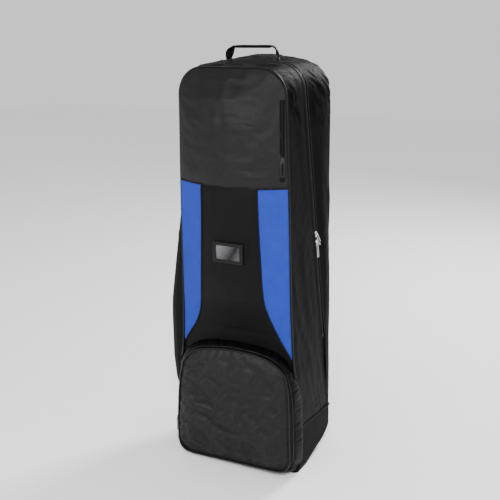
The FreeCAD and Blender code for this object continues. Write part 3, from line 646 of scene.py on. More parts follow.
def on_wall(run, y):
    """A point on the outer wall. run goes from 0 at the right foot over the top to 1 at the left foot."""
    side = 1 if run <= 0.5 else -1
    part = run if run <= 0.5 else 1 - run
    shape = top_shape(y)
    spring = shape["level"] - shape["round"]
    half = half_width(side, y, spring)
    if part <= LEG:
        height = spring * part / LEG
        return Vector((side * half_width(side, y, height), y, height))
    if part <= LEG + BEND:
        turn = (part - LEG) / BEND * math.pi / 2
        x = half - shape["round"] * (1 - math.cos(turn))
        height = spring + shape["round"] * math.sin(turn)
    else:
        x = (half - shape["round"]) * (0.5 - part) / (0.5 - LEG - BEND)
        height = shape["level"]
    height += shape["dome"] * (1 - abs(x / half) ** 1.8) * ease((part - LEG) / BEND)
    return Vector((side * x, y, height))


def run_at(side, height, y):
    """The run at which the leg of the wall reaches a height."""
    shape = top_shape(y)
    part = LEG * height / (shape["level"] - shape["round"])
    return part if side > 0 else 1 - part


def wall_normal(run, y):
    step = 0.0008
    a = on_wall(min(1, run + step), y) - on_wall(max(0, run - step), y)
    b = on_wall(run, y + step) - on_wall(run, y - step)
    outward = a.cross(b).normalized()
    point = on_wall(run, y)
    if outward.dot(point - Vector((0, 0, min(point.z, 1.05)))) < 0:
        outward = -outward
    return outward


def wall_folds(point):
    """How far the cloth of the side walls stands in or out."""
    x, y, z = point
    calm = ease((y - FRONT_Y) / 0.03) * ease((BACK_Y - y) / 0.02 + 0.2)
    middle = zip_y(1 if x > 0 else -1, z)
    near_zip = ease(abs(y - middle) / 0.040 - 0.2)
    long_folds = crease((x * 0.3, y + z * 0.22, z), (0.09, 0.055, 0.34), 2.0) * 0.0030
    short_folds = crease((x, y - z * 0.5, z), (0.05, 0.04, 0.10), 9.0) * 0.0010
    corner = ease((z - 1.02) / 0.14)
    gather = crease((x, y + z * 0.9, z), (0.045, 0.026, 0.06), 5.0, 1.6) * 0.0044 * corner
    foot = ease((0.30 - z) / 0.12) * ease((z - BOOT_TOP) / 0.02)
    slump = crease((x, y, z), (0.08, 0.07, 0.035), 4.0) * 0.0022 * foot
    folds = (long_folds + short_folds + gather + slump) * calm * near_zip
    return mix(folds, -0.0026, ease((boot_seam(y) + 0.006 - z) / 0.010))


def folded_wall(run, y):
    point = on_wall(run, y)
    return point + wall_normal(run, y) * wall_folds(point)


def zip_line(run):
    """Depth of the main zip's line at a run round the wall."""
    y = -0.03
    for _ in range(4):
        point = on_wall(run, y)
        y = zip_y(1 if point.x > 0 else -1, point.z)
    return y


# ---------- walls ----------

def beside_zip(run, gap):
    """Depth at which a wall stops beside the main zip; past the zip's end the two walls meet."""
    line = zip_line(run)
    foot = ZIP_FOOT_LEFT if run > 0.5 else TAIL_FOOT
    return line if on_wall(run, line).z < foot else line + gap


def make_walls():
    """The side and top walls, in front of the main zip and behind it."""
    start = run_at(1, WALL_FOOT, 0)

    def front_place(i, j):
        run = mix(start, 1 - start, i)
        return folded_wall(run, mix(FRONT_Y + 0.001, beside_zip(run, -ZIP_GAP), j))

    # both walls wear the darker copy of the case cloth, which is painted shade
    piece = sheet_of("front_side_wall", 460, 30, front_place)
    cloth_skin(piece, "shell_black", "rear_shell",
               ("front_gusset_left", "front_gusset_right", "front_gusset_top"),
               across_fold=True, look="side_black")

    def rear_place(i, j):
        run = mix(start, 1 - start, i)
        return folded_wall(run, mix(beside_zip(run, ZIP_GAP), BACK_Y, to_far_end(j, 0.55)))

    piece = sheet_of("rear_side_wall", 460, 36, rear_place)
    cloth_skin(piece, "shell_black", "rear_shell",
               ("rear_gusset_left", "rear_gusset_right", "rear_gusset_top", "lower_gussets"),
               look="side_black")


def back_bulge(x, z):
    soft = crease((x, 0.1, z), (0.11, 0.1, 0.22), 6.0) * 0.0022
    edge = min(1, (0.18 - abs(x)) / 0.05) if abs(x) < 0.18 else 0
    return (0.0035 + soft) * max(0, edge)


def top_of(y, x):
    """Height of the wall's outline at a distance x from the middle."""
    shape = top_shape(y)
    spring = shape["level"] - shape["round"]
    half = half_width(1, y, spring)
    flat = half - shape["round"]
    beyond = min(shape["round"], max(0, abs(x) - flat))
    height = spring + math.sqrt(max(0, shape["round"] ** 2 - beyond ** 2))
    rise = math.sin(math.acos(min(1, beyond / shape["round"])))
    return height + shape["dome"] * (1 - abs(x / half) ** 1.8) * ease(rise)


def make_back():
    def place(i, j):
        u = to_both_ends(j)
        half_top = half_width(1, BACK_Y, CORNER)
        height = mix(WALL_FOOT, top_of(BACK_Y, u * half_top), i)
        x = u * half_width(1, BACK_Y, min(height, CORNER))
        return Vector((x, BACK_Y + back_bulge(x, height) * ease(i * 20), height))

    piece = sheet_of("back_wall", 120, 60, place)
    cloth_skin(piece, "shell_black", "rear_shell", ("back_panel",))


def in_wheel_bay(point):
    return 0.085 < abs(point.x) < 0.151 and point.y > 0.064 and point.z < 0.095


def make_boot():
    """The band of heavier cloth round the foot, its underside and its raised top seam."""
    proud = 0.0012
    rows = 26

    def side_place(side):
        def place(i, j):
            y = mix(FRONT_Y + 0.001, BACK_Y, to_far_end(j))
            height = mix(heel(y, half_width(side, y, 0.05)), boot_seam(y), i)
            tuck = 0.006 * (1 - ease(i * 9)) + front_corner(y)
            half = half_width(side, y, height) + proud - tuck
            half += crease((side, y, height), (0.1, 0.07, 0.07), 8.0) * 0.0009 * ease(i * 5)
            return Vector((side * half, y, height))
        return place

    # the boot's cloth: its own heavier weave, with a darker colour that is painted shade
    nodes = {1: ("boot_sides",), -1: ()}
    for side, name in ((1, "right"), (-1, "left")):
        piece = sheet_of("boot_side_" + name, rows, 60, side_place(side))
        cloth_skin(piece, "boot_black", "rear_shell", nodes[side])

    def back_place(i, j):
        u = to_both_ends(j)
        x = u * (half_width(1, BACK_Y, BOOT_TOP) + proud)
        return Vector((x, BACK_Y + proud, mix(heel(BACK_Y, x), boot_seam(BACK_Y), i)))

    piece = sheet_of("boot_back", 24, 90, back_place, skip=in_wheel_bay)
    cloth_skin(piece, "boot_black", "rear_shell", ("boot_back",))

    def under_place(i, j):
        y = mix(FRONT_Y, BACK_Y, to_far_end(i))
        x = mix(-1, 1, j) * (half_width(1, y, heel(y)) - 0.0045 - front_corner(y))
        return Vector((x, y, heel(y, x)))

    piece = sheet_of("base_cloth", 60, 90, under_place, skip=in_wheel_bay)
    cloth_skin(piece, "boot_black", "rear_shell", ("base_panel",))

    def board_place(i, j):
        y = mix(FRONT_Y + 0.018, BACK_Y - 0.016, i)
        x = mix(-1, 1, j) * (0.196 - 0.018 * (2 * i - 1) ** 4)
        return Vector((x, y, heel(y, x) + 0.0085))

    piece = sheet_of("stiffening_board", 50, 70, board_place, skip=in_wheel_bay)
    thicken(piece, 0.003)
    finish(piece, "board_plastic", "rear_shell", ("base_board",))

    seam = []
    for j in range(121):
        y = mix(FRONT_Y, BACK_Y, j / 120)
        seam.append(Vector((half_width(1, y, BOOT_TOP) + 0.0018 - front_corner(y), y, boot_seam(y))))
    for j in range(1, 81):
        x = mix(1, -1, j / 80) * (half_width(1, BACK_Y, BOOT_TOP) + 0.001)
        seam.append(Vector((x, BACK_Y + 0.0018, boot_seam(BACK_Y))))
    for j in range(1, 121):
        y = mix(BACK_Y, FRONT_Y, j / 120)
        seam.append(Vector((front_corner(y) - half_width(-1, y, BOOT_TOP) - 0.0018, y, boot_seam(y))))
    finish(cord_of("boot_top_binding", seam, 0.0022), "webbing_black", "rear_shell")


# ---------- front ----------

# how far the middle of the front stands forward at each height
CROWN = [(0.0, 0.0), (0.455, 0.001), (0.50, 0.012), (0.56, 0.034), (0.62, 0.0385),
         (1.10, 0.0385), (1.165, 0.034), (1.22, 0.018), (1.26, 0.003)]
BLUE_KNOTS = [(0.380, 0.1925), (0.400, 0.1815), (0.425, 0.165), (0.452, 0.1475), (0.490, 0.1295),
              (0.530, 0.1165), (0.580, 0.1085), (0.690, 0.1020), (0.820, 0.0965), (0.935, 0.0945)]
BLUE_EDGE = [(knot.x, knot.y) for knot in flat_path(BLUE_KNOTS, 90)]
BLUE_TIP = 0.388


def swell(x, z):
    """The front's outer face: how far it stands forward of the front edge."""
    half = 0.194
    return read_curve(CROWN, z) * max(0, 1 - (x / half) ** 2)


def seam_dip(distance):
    return 0.0016 * math.exp(-(distance / 0.006) ** 2)


def blue_edge(z):
    return read_curve(BLUE_EDGE, z)


def seam_height(x):
    return SEAM - 0.006 * max(0, 1 - (x / 0.18) ** 2)


def front_point(x, z, folds=0.0012):
    dip = seam_dip(abs(x) - blue_edge(z)) if z < SEAM + 0.01 else 0
    dip += seam_dip(z - seam_height(x))
    soft = crease((x, 0, z), (0.09, 1, 0.16), 3.0) * folds
    calm = ease((read_curve(FRONT_HALF, min(z, FRONT_TURN)) - abs(x)) / 0.02)
    return Vector((x, FRONT_Y - swell(x, z) + dip - soft * calm, z))


def front_half(z):
    return read_curve(FRONT_HALF, z) - 0.001


def make_front():
    """The front's cloth panels with their piping, and the lining behind the top pocket."""
    def centre(i, j):
        u = 2 * j - 1
        x_top = u * blue_edge(SEAM)
        z = mix(0.34, seam_height(x_top), i)
        return front_point(u * min(blue_edge(z), front_half(z)), z)

    piece = sheet_of("centre_front", 130, 60, centre)
    cloth_skin(piece, "shell_black", "rear_shell", ("centre_panel", "lower_front_panel"), across_fold=True)

    for side, name in ((1, "right"), (-1, "left")):
        def blue(i, j, side=side):
            top = seam_height(mix(blue_edge(SEAM), front_half(SEAM), j))
            z = mix(BLUE_TIP, top, i)
            x = mix(blue_edge(z), front_half(z), j)
            return front_point(side * x, z)
        nodes = ("blue_panel_right", "blue_tips") if side > 0 else ("blue_panel_left",)
        piece = sheet_of("blue_front_" + name, 140, 22, blue)
        cloth_skin(piece, "panel_blue", "rear_shell", nodes, across_fold=True)
        edge = []
        for i in range(141):
            z = mix(BLUE_TIP + 0.004, seam_height(blue_edge(SEAM)), i / 140)
            edge.append(front_point(side * blue_edge(z), z, 0) + Vector((0, -0.0006, 0)))
        piping = cord_of("blue_edge_piping_" + name, edge, 0.0021)
        finish(piping, "piping_black", "rear_shell", across_fold=True)

    def lower(i, j):
        z = mix(0.003, 0.36, i)
        half = front_half(z) - mix(0.0175, 0.0, ease((z - 0.125) / 0.03))
        return Vector(((2 * j - 1) * half, FRONT_Y, z))

    piece = sheet_of("lower_front", 40, 40, lower)
    cloth_skin(piece, "shell_black", "rear_shell")

    def upper(i, j):
        u = to_both_ends(j)
        half = front_half(FRONT_TURN)
        top = top_of(FRONT_Y, u * (half + 0.001)) - 0.001
        x_low = u * front_half(SEAM)
        z = mix(seam_height(x_low), top, i)
        x = u * front_half(min(z, FRONT_TURN))
        point = front_point(x, z, 0.0026)
        held = ease((1 - abs(u)) / 0.2) * ease(i / 0.08) * ease((1 - i) / 0.06)
        point.y -= crease((x + z * 0.5, 0, z), (0.06, 1, 0.045), 17.0, 1.4) * 0.0016 * held
        return point

    piece = sheet_of("upper_front", 90, 70, upper)
    cloth_skin(piece, "shell_black", "front_cover", ("upper_front_panel",), look="light_catching_black")

    seam = []
    for j in range(101):
        x = mix(-1, 1, j / 100) * front_half(SEAM)
        seam.append(front_point(x, seam_height(x), 0) + Vector((0, -0.0005, 0)))
    finish(cord_of("upper_seam_piping", seam, 0.0019), "piping_black", "front_cover")

    trim = []
    start = run_at(1, 0.33, FRONT_Y)
    for i in range(421):
        run = mix(start, 1 - start, i / 420)
        point = on_wall(run, FRONT_Y)
        trim.append(point + Vector((0, -0.0005, 0)))
    piece = cord_of("front_edge_piping", trim, 0.0036, 10)
    finish(piece, "piping_black", "rear_shell", ("front_piping",), across_fold=True)

    def lining(i, j):
        z = mix(SEAM + 0.002, 1.235, i)
        half = min(front_half(min(z, FRONT_TURN)) - 0.006, 0.17)
        x = (2 * j - 1) * (half if z < FRONT_TURN else half - (z - FRONT_TURN) * 0.4)
        return Vector((x, -0.1235 + crease((x, 0, z), (0.09, 1, 0.12), 1.0) * 0.001, z))

    piece = sheet_of("top_pocket_lining_cloth", 30, 30, lining)
    thicken(piece, 0.001)
    finish(piece, "lining_grey", "front_cover", ("top_pocket_lining",))


# ---------- zips ----------

def zip_path(runs, offset, lift):
    path = []
    for run in runs:
        y = zip_line(run) + offset
        outward = wall_normal(run, y)
        path.append((on_wall(run, y) + outward * lift, outward))
    return path


def ribbon(name, first, second, depth=0.0008):
    """A flat tape between two lines of points."""
    rows = len(first) - 1

    def place(i, j):
        k = round(i * rows)
        return first[k].lerp(second[k], j)

    piece = sheet_of(name, rows, 2, place)
    thicken(piece, depth)
    return piece


def zip_tape(name, runs, sign):
    outer = [point for point, outward in zip_path(runs, sign * 0.0108, -0.0008)]
    inner = [point for point, outward in zip_path(runs, sign * 0.0008, -0.0004)]
    return ribbon(name, inner, outer)


def zip_teeth(name, runs, sign):
    return blocks_along(name, zip_path(runs, sign * 0.0011, -0.0003), 0.0026, (0.0015, 0.0022, 0.0012))


def make_main_zip():
    """Two tapes with teeth, stitches and welts. The front one's tail stays on the shell, below the fold."""
    fold_run = run_at(1, BLEND_START[2] + 0.002, 0.05)
    left_run = run_at(-1, ZIP_FOOT_LEFT, -0.104)
    tail_run = run_at(1, TAIL_FOOT + 0.004, 0.06)
    for name, runs, sign, fold in (("front", spread(fold_run, left_run, 520), -1, True),
                                   ("rear", spread(tail_run, left_run, 540), 1, False)):
        tape = zip_tape("main_zip_tape_" + name, runs, sign)
        finish(tape, "zip_black", "rear_shell", ("main_zip_" + name,), across_fold=fold)
        teeth = zip_teeth("main_zip_teeth_" + name, runs, sign)
        finish(teeth, "teeth_black", "rear_shell", across_fold=fold)
        sew("main_zip_stitches_" + name, zip_path(runs, sign * 0.0132, 0.0002), 0.0046,
            (0.0028, 0.0006, 0.0004), "rear_shell", across_fold=fold)
        welt = [point for point, outward in zip_path(runs, sign * 0.0095, 0.0006)]
        cord = cord_of("main_zip_welt_" + name, welt, 0.0013, 6)
        finish(cord, "piping_black", "rear_shell", across_fold=fold)
    tail = spread(tail_run, fold_run, 40)
    finish(zip_tape("main_zip_tail_tape", tail, -1), "zip_black", "rear_shell")
    finish(zip_teeth("main_zip_tail_teeth", tail, -1), "teeth_black", "rear_shell")
    for name, run in (("right", run_at(1, TAIL_FOOT + 0.001, 0.06)), ("left", left_run)):
        point, outward = zip_path([run], 0, 0.0004)[0]
        path = [(point + Vector((0, reach, 0)), outward) for reach in (-0.009, 0.009)]
        sew("zip_bartack_" + name, path, 0.0012, (0.0011, 0.0052, 0.0009), "rear_shell")


def make_flat_zip(name, centre_of, outward, low, high, body, nodes, width=0.007):
    """A short straight zip laid on a panel: the tape, the teeth and a row of stitches at each side."""
    heights = spread(low, high, 90)

    def line(offset):
        return [centre_of(z, offset) + outward * 0.0006 for z in heights]

    finish(ribbon(name + "_tape", line(-width), line(width)), "zip_black", body, nodes)
    teeth = blocks_along(name + "_teeth", [(point, outward) for point in line(0)], 0.0024,
                         (0.0014, 0.0030, 0.0013), 0.0006)
    finish(teeth, "teeth_black", body)
    for label, offset in (("a", -width + 0.001), ("b", width - 0.001)):
        sew(name + "_stitches_" + label, [(point, outward) for point in line(offset)], 0.0042,
            (0.0026, 0.0006, 0.0004), body)


def make_top_zip():
    low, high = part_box("top_pocket_zip")
    middle = (low[0] + high[0]) / 2

    def centre_of(z, offset):
        return front_point(middle + offset, z, 0.0013) + Vector((0, -0.0005, 0))

    make_flat_zip("top_zip", centre_of, Vector((0.34, -0.94, 0)), low[2], high[2], "front_cover",
                  ("top_pocket_zip",))


# ---------- shoe pocket ----------

# outlines (x, z) of the pocket's face and of where its side meets the case
SHOE_FACE = {
    "bottom": [(-0.2055, 0.050), (-0.193, 0.018), (-0.161, 0.005), (-0.08, 0.004), (0, 0.004), (0.08, 0.004),
               (0.161, 0.005), (0.193, 0.018), (0.2055, 0.050)],
    "right": [(0.2055, 0.050), (0.2055, 0.107), (0.2045, 0.146), (0.203, 0.238), (0.199, 0.305),
              (0.190, 0.352)],
    "left": [(-0.2055, 0.050), (-0.2045, 0.107), (-0.203, 0.146), (-0.197, 0.220), (-0.188, 0.285),
             (-0.176, 0.330)],
    "top": [(-0.176, 0.330), (-0.160, 0.355), (-0.124, 0.381), (-0.055, 0.398), (0.011, 0.4045),
            (0.061, 0.4045), (0.111, 0.3995), (0.159, 0.382), (0.190, 0.352)],
}
SHOE_BASE = {
    "bottom": [(-0.2125, 0.045), (-0.200, 0.014), (-0.170, 0.003), (-0.08, 0.002), (0, 0.002), (0.08, 0.002),
               (0.170, 0.003), (0.200, 0.014), (0.2125, 0.045)],
    "right": [(0.2125, 0.045), (0.213, 0.107), (0.211, 0.18), (0.209, 0.25), (0.205, 0.312), (0.195, 0.350)],
    "left": [(-0.2125, 0.045), (-0.213, 0.107), (-0.211, 0.18), (-0.208, 0.24), (-0.202, 0.300),
             (-0.189, 0.338)],
    "top": [(-0.189, 0.338), (-0.168, 0.368), (-0.118, 0.397), (-0.055, 0.409), (0, 0.413), (0.05, 0.413),
            (0.098, 0.4085), (0.140, 0.399), (0.174, 0.379), (0.195, 0.350)],
}
SHOE_ZIP_Y = -0.1712
SHOE_EDGE_Y = -0.1850
ACROSS, UPWARD = 110, 84


def shoe_edges(shape, finer=1):
    """The four edges of an outline as points (x, z)."""
    bottom, top = [flat_path(shape[key], ACROSS * finer) for key in ("bottom", "top")]
    right, left = [flat_path(shape[key], UPWARD * finer) for key in ("right", "left")]
    return bottom, right, top, left


def set_face(point):
    """The face stands a little higher at the right foot and is drawn in at the left."""
    x = point.x if point.x > 0 else point.x * 0.962
    lift = mix(0.007, 0.022, (x + 0.2) / 0.4) * (1 - ease(point.y / 0.14))
    return Vector((x, point.y + lift, 0))


def shoe_loop(shape):
    return loop_of(*shoe_edges(shape, 2))


def shoe_ring_at(share):
    """The outline of the pocket's side at a share of the way from the case to the face.

    Low down, the pocket's side is sewn round the corner on to the side walls."""
    ring = []
    for a, b in zip(shoe_loop(SHOE_BASE), [set_face(point) for point in shoe_loop(SHOE_FACE)]):
        wrapped = ease((abs(a.x) - 0.198) / 0.012) * ease((0.345 - a.y) / 0.10)
        start_y = FRONT_Y + 0.028 * wrapped
        wide = a.x + math.copysign(0.0025 * wrapped, a.x)
        y = mix(start_y, SHOE_EDGE_Y, share)
        ring.append(Vector((mix(wide, b.x, share ** 2), y, mix(a.y, b.y, share))))
    return ring


def from_middle(point):
    """The direction outward from the middle of the pocket's outline."""
    return Vector((point.x, 0, point.z - 0.2)).normalized()


def ring_share(y):
    return (y - FRONT_Y) / (SHOE_EDGE_Y - FRONT_Y)


def make_shoe_pocket():
    """The arched pocket at the foot: gathered side, zip, piping and the face that folds open."""
    centre = Vector((0, -0.16, 0.2))
    shares = spread(0, ring_share(-0.1690), 14)
    rings = [shoe_ring_at(share) for share in shares]
    count = len(rings[0])

    def gathers(i, j):
        ring = rings[round(i * (len(shares) - 1))]
        k = round(j * count) % count
        point = ring[k]
        outward = from_middle(point)
        where = rings[0][k]
        pull = 0.4 + 0.6 * ease(0.5 + noise.noise(Vector((where.x * 11, where.z * 11, 1))))
        tuck = crease((where.x, i * 0.02, where.z), (0.015, 0.05, 0.015), 2.0, 0.8) * 0.0058
        broad = noise.noise(Vector((where.x * 26, 4 + i * 1.1, where.z * 26))) * 0.0030
        held = math.sin(math.pi * i ** 0.8) ** 0.6 if 0 < i < 1 else 0
        moved = point + outward * ((tuck * pull + broad + 0.0022) * held)
        moved.z = max(moved.z, 0.0012)
        return moved

    piece = sheet_of("shoe_pocket_gathers", len(shares) - 1, count, gathers, centre, closed=True)
    # the gathers wear the darker copy of the case cloth, which is painted shade in the recess
    cloth_skin(piece, "shell_black", "rear_shell", ("shoe_pocket_gusset",), depth=0.002, look="gather_black")
    sewn = []
    for k in range(4, count - 4):
        point = rings[0][k]
        outward = from_middle(point)
        sewn.append((point + outward * 0.0022, outward if abs(point.x) > 0.2 else Vector((0, -1, 0))))
    sew("shoe_pocket_stitches", sewn[2 * ACROSS:], 0.0044, (0.0028, 0.0007, 0.0005), "rear_shell")

    for name, near, far, body in (("rear", -0.1680, -0.1706, "rear_shell"),
                                  ("front", -0.1718, -0.1846, "shoe_pocket_flap")):
        near_ring, far_ring = shoe_ring_at(ring_share(near)), shoe_ring_at(ring_share(far))

        def band(i, j, near_ring=near_ring, far_ring=far_ring):
            k = round(j * count) % count
            inset = from_middle(near_ring[k]) * -0.0012
            return near_ring[k].lerp(far_ring[k], i) + inset

        tape = sheet_of("shoe_zip_tape_" + name, 2, count, band, centre, closed=True)
        thicken(tape, 0.0009)
        finish(tape, "zip_black", body, ("shoe_zip_" + name,))
        line = []
        ring = shoe_ring_at(ring_share(SHOE_ZIP_Y + (0.0011 if name == "rear" else -0.0011)))
        for k in range(2 * ACROSS, count - 4):
            outward = from_middle(ring[k])
            line.append((ring[k] - outward * 0.0010, outward))
        teeth = blocks_along("shoe_zip_teeth_" + name, line, 0.0026, (0.0015, 0.0022, 0.0013))
        finish(teeth, "teeth_black", body)

    edge = [point + Vector((0, -0.0012, 0)) for point in shoe_ring_at(1)]
    for point in edge:
        point.z = max(point.z, 0.0042)
    finish(cord_of("shoe_face_piping", edge, 0.0034, 10, closed=True), "piping_black", "shoe_pocket_flap",
           ("shoe_pocket_piping",))

    bottom, right, top, left = [[set_face(point) for point in side] for side in shoe_edges(SHOE_FACE)]
    fill = patch_between(bottom, top, left, right)

    def face(i, j):
        flat = fill(i, j)
        held = min(1, 9 * min(i, 1 - i, j, 1 - j))
        pillow = (1 - (2 * i - 1) ** 4) * (1 - (2 * j - 1) ** 4)
        x, z = flat.x, flat.y
        folds = crease((x + z * 0.3, 0, z), (0.075, 1, 0.052), 12.0, 1.5) * 0.0048
        folds += crease((x - z * 0.5, 0, z), (0.03, 1, 0.045), 15.0, 1.2) * 0.0028
        sag = 0.006 * math.exp(-((z - 0.13) / 0.07) ** 2)
        return Vector((x, SHOE_EDGE_Y - pillow * (0.0045 + sag) - folds * ease(held), z))

    piece = sheet_of("shoe_pocket_front", UPWARD, ACROSS, face, centre)
    width = ACROSS + 1
    pins = [i * width + j for i in range(UPWARD + 1) for j in range(width)
            if i in (0, UPWARD) or j in (0, ACROSS)]
    inflate(piece, pins, 0.3, 0.010)
    for index, vertex in enumerate(piece.data.vertices):
        i, j = index // width / UPWARD, index % width / ACROSS
        x, z = vertex.co.x, vertex.co.z
        loose = ease(2.4 * abs(j - 0.5) - 0.25 + 1.1 * (0.30 - i)) * ease(9 * min(i, 1 - i, j, 1 - j))
        fan = crease((x * 0.6, 0, z * 0.8 - abs(x) * 0.6), (0.05, 1, 0.013), 21.0, 1.2)
        puckers = crease((x - z * 0.4, 0, z + x * 0.3), (0.024, 1, 0.020), 33.0, 1.2)
        vertex.co.y -= (fan * 0.0030 + puckers * 0.0018) * loose
    cloth_skin(piece, "shell_black", "shoe_pocket_flap", ("shoe_pocket_face",), look="light_catching_black")


# ---------- side pocket ----------

def pocket_edge(height):
    """Depth of the pocket's front edge, which slopes back above its bend."""
    return -0.086 if height < 0.47 else mix(-0.086, -0.052, (height - 0.47) / 0.33)


POCKET_LOW, POCKET_HIGH, POCKET_BACK = 0.190, 0.800, 0.040
POCKET_DEPTH = 0.065
# how far the pocket stands out at each height
POCKET_BULK = [(0.19, 0.046), (0.30, 0.0575), (0.50, 0.060), (0.62, 0.054), (0.80, 0.044)]
SIDE_ZIP_Y = -0.020


def pocket_loop(inset, steps_along, steps_across):
    """The outline (y, z) as four edges, drawn in by the inset."""
    corner = 0.030 - inset * 0.4
    low, high, back = POCKET_LOW + inset, POCKET_HIGH - inset, POCKET_BACK - inset

    def front(z):
        return pocket_edge(z) + inset

    bottom = [(front(low), low + corner), (front(low) + corner * 0.3, low + corner * 0.3),
              (front(low) + corner, low), (back - corner, low), (back - corner * 0.3, low + corner * 0.3),
              (back, low + corner)]
    top = [(front(high), high - corner), (front(high) + corner * 0.3, high - corner * 0.3),
           (front(high) + corner, high), (back - corner, high), (back - corner * 0.3, high - corner * 0.3),
           (back, high - corner)]
    rear = [(back, low + corner), (back, 0.4), (back, 0.6), (back, high - corner)]
    fore = [(front(low), low + corner), (front(0.35), 0.35), (front(0.47), 0.47), (front(0.62), 0.62),
            (front(high), high - corner)]
    return (flat_path(bottom, steps_across), flat_path(rear, steps_along),
            flat_path(top, steps_across), flat_path(fore, steps_along))


def pocket_out(y, z, depth=POCKET_DEPTH):
    """How far from the case's middle the pocket stands at a distance from the side wall."""
    return half_width(-1, y, z) - 0.001 + depth * read_curve(POCKET_BULK, z) / 0.058


def make_side_pocket():
    """The pocket on the left side: its wall, face, piping and zip."""
    along, across = 150, 44
    centre = Vector((-0.21, -0.02, 0.5))
    steps = [(0, 0.0), (0.014, -0.003), (0.030, -0.008), (0.046, -0.011), (0.058, -0.008),
             (POCKET_DEPTH, 0.001)]
    rings = [(depth, loop_of(*pocket_loop(inset, along, across))) for depth, inset in steps]
    count = len(rings[0][1])

    def wall(i, j):
        depth, ring = rings[round(i * (len(steps) - 1))]
        point = ring[round(j * count) % count]
        y, z = point.x, point.y
        fullness = math.sin(math.pi * min(1, depth / POCKET_DEPTH))
        ripple = crease((depth * 0.4, y, z), (0.03, 0.05, 0.05), 21.0) * 0.0030 * fullness
        outward = Vector((0, y + 0.02, (z - 0.5) * 0.25)).normalized()
        return Vector((-pocket_out(y, z, depth), y, z)) + outward * ripple

    piece = sheet_of("side_pocket_wall", len(steps) - 1, count, wall, centre, closed=True)
    cloth_skin(piece, "shell_black", "rear_shell", ("side_pocket_gusset",), depth=0.002)

    bottom, rear, top, fore = pocket_loop(0.001, along, across)
    fill = patch_between(bottom, top, fore, rear)

    def face_x(y, z, held, pillow):
        folds = crease((0, y + z * 0.2, z), (1, 0.045, 0.075), 31.0, 1.5) * 0.0035
        folds += crease((0, y - z * 0.6, z), (1, 0.03, 0.05), 35.0) * 0.0012
        calm = ease(abs(y - SIDE_ZIP_Y) / 0.016 - 0.25)
        edge = pocket_out(y, z)
        middle = cad_half(z) + 0.0575
        swollen = mix(edge, max(edge, middle) + 0.004 * calm, pillow)
        at_zip = ease(1 - abs(y - SIDE_ZIP_Y) / 0.045) * held
        return -(mix(swollen, middle, at_zip) + folds * held * calm)

    def face(i, j):
        flat = fill(i, j)
        held = ease(min(1, 8 * min(i, 1 - i, j, 1 - j)))
        pillow = (1 - (2 * i - 1) ** 6) * (1 - (2 * j - 1) ** 4)
        return Vector((face_x(flat.x, flat.y, held, pillow), flat.x, flat.y))

    piece = sheet_of("side_pocket_front", along, across, face, centre)
    cloth_skin(piece, "shell_black", "rear_shell", ("side_pocket_face",))

    outline = rings[-1][1]
    edge = [Vector((-pocket_out(point.x, point.y), point.x, point.y)) for point in outline]
    finish(cord_of("side_pocket_piping", edge, 0.0028, 8, closed=True), "piping_black", "rear_shell")

    low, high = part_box("side_pocket_zip")

    def centre_of(z, offset):
        return Vector((-(cad_half(z) + 0.0572), SIDE_ZIP_Y + offset, z))

    make_flat_zip("side_zip", centre_of, Vector((-1, 0, 0.02)).normalized(), low[2], high[2], "rear_shell",
                  ("side_pocket_zip",))


# ---------- handle ----------

def strap(name, path, wide_of, width, depth):
    """Flat webbing along a path, with slightly rounded edges."""
    rows = len(path) - 1
    section = [(-0.5, 0), (-0.47, 0.5), (0.47, 0.5), (0.5, 0), (0.47, -0.5), (-0.47, -0.5)]
    points, faces = [], []
    sides = len(section)
    for i, point in enumerate(path):
        along = (path[min(rows, i + 1)] - path[max(0, i - 1)]).normalized()
        wide = wide_of(i / rows)
        wide = (wide - along * wide.dot(along)).normalized()
        normal = along.cross(wide)
        for a, b in section:
            points.append(point + wide * (a * width) + normal * (b * depth))
    for i in range(rows):
        for k in range(sides):
            faces.append((i * sides + k, i * sides + (k + 1) % sides, (i + 1) * sides + (k + 1) % sides,
                          (i + 1) * sides + k))
    faces.append(tuple(reversed(range(sides))))
    faces.append(tuple(rows * sides + k for k in range(sides)))
    piece = mesh_object(name, points, faces)
    piece.data.polygons.foreach_set("use_smooth", [False] * len(piece.data.polygons))
    return piece


PATCH_X = 0.082


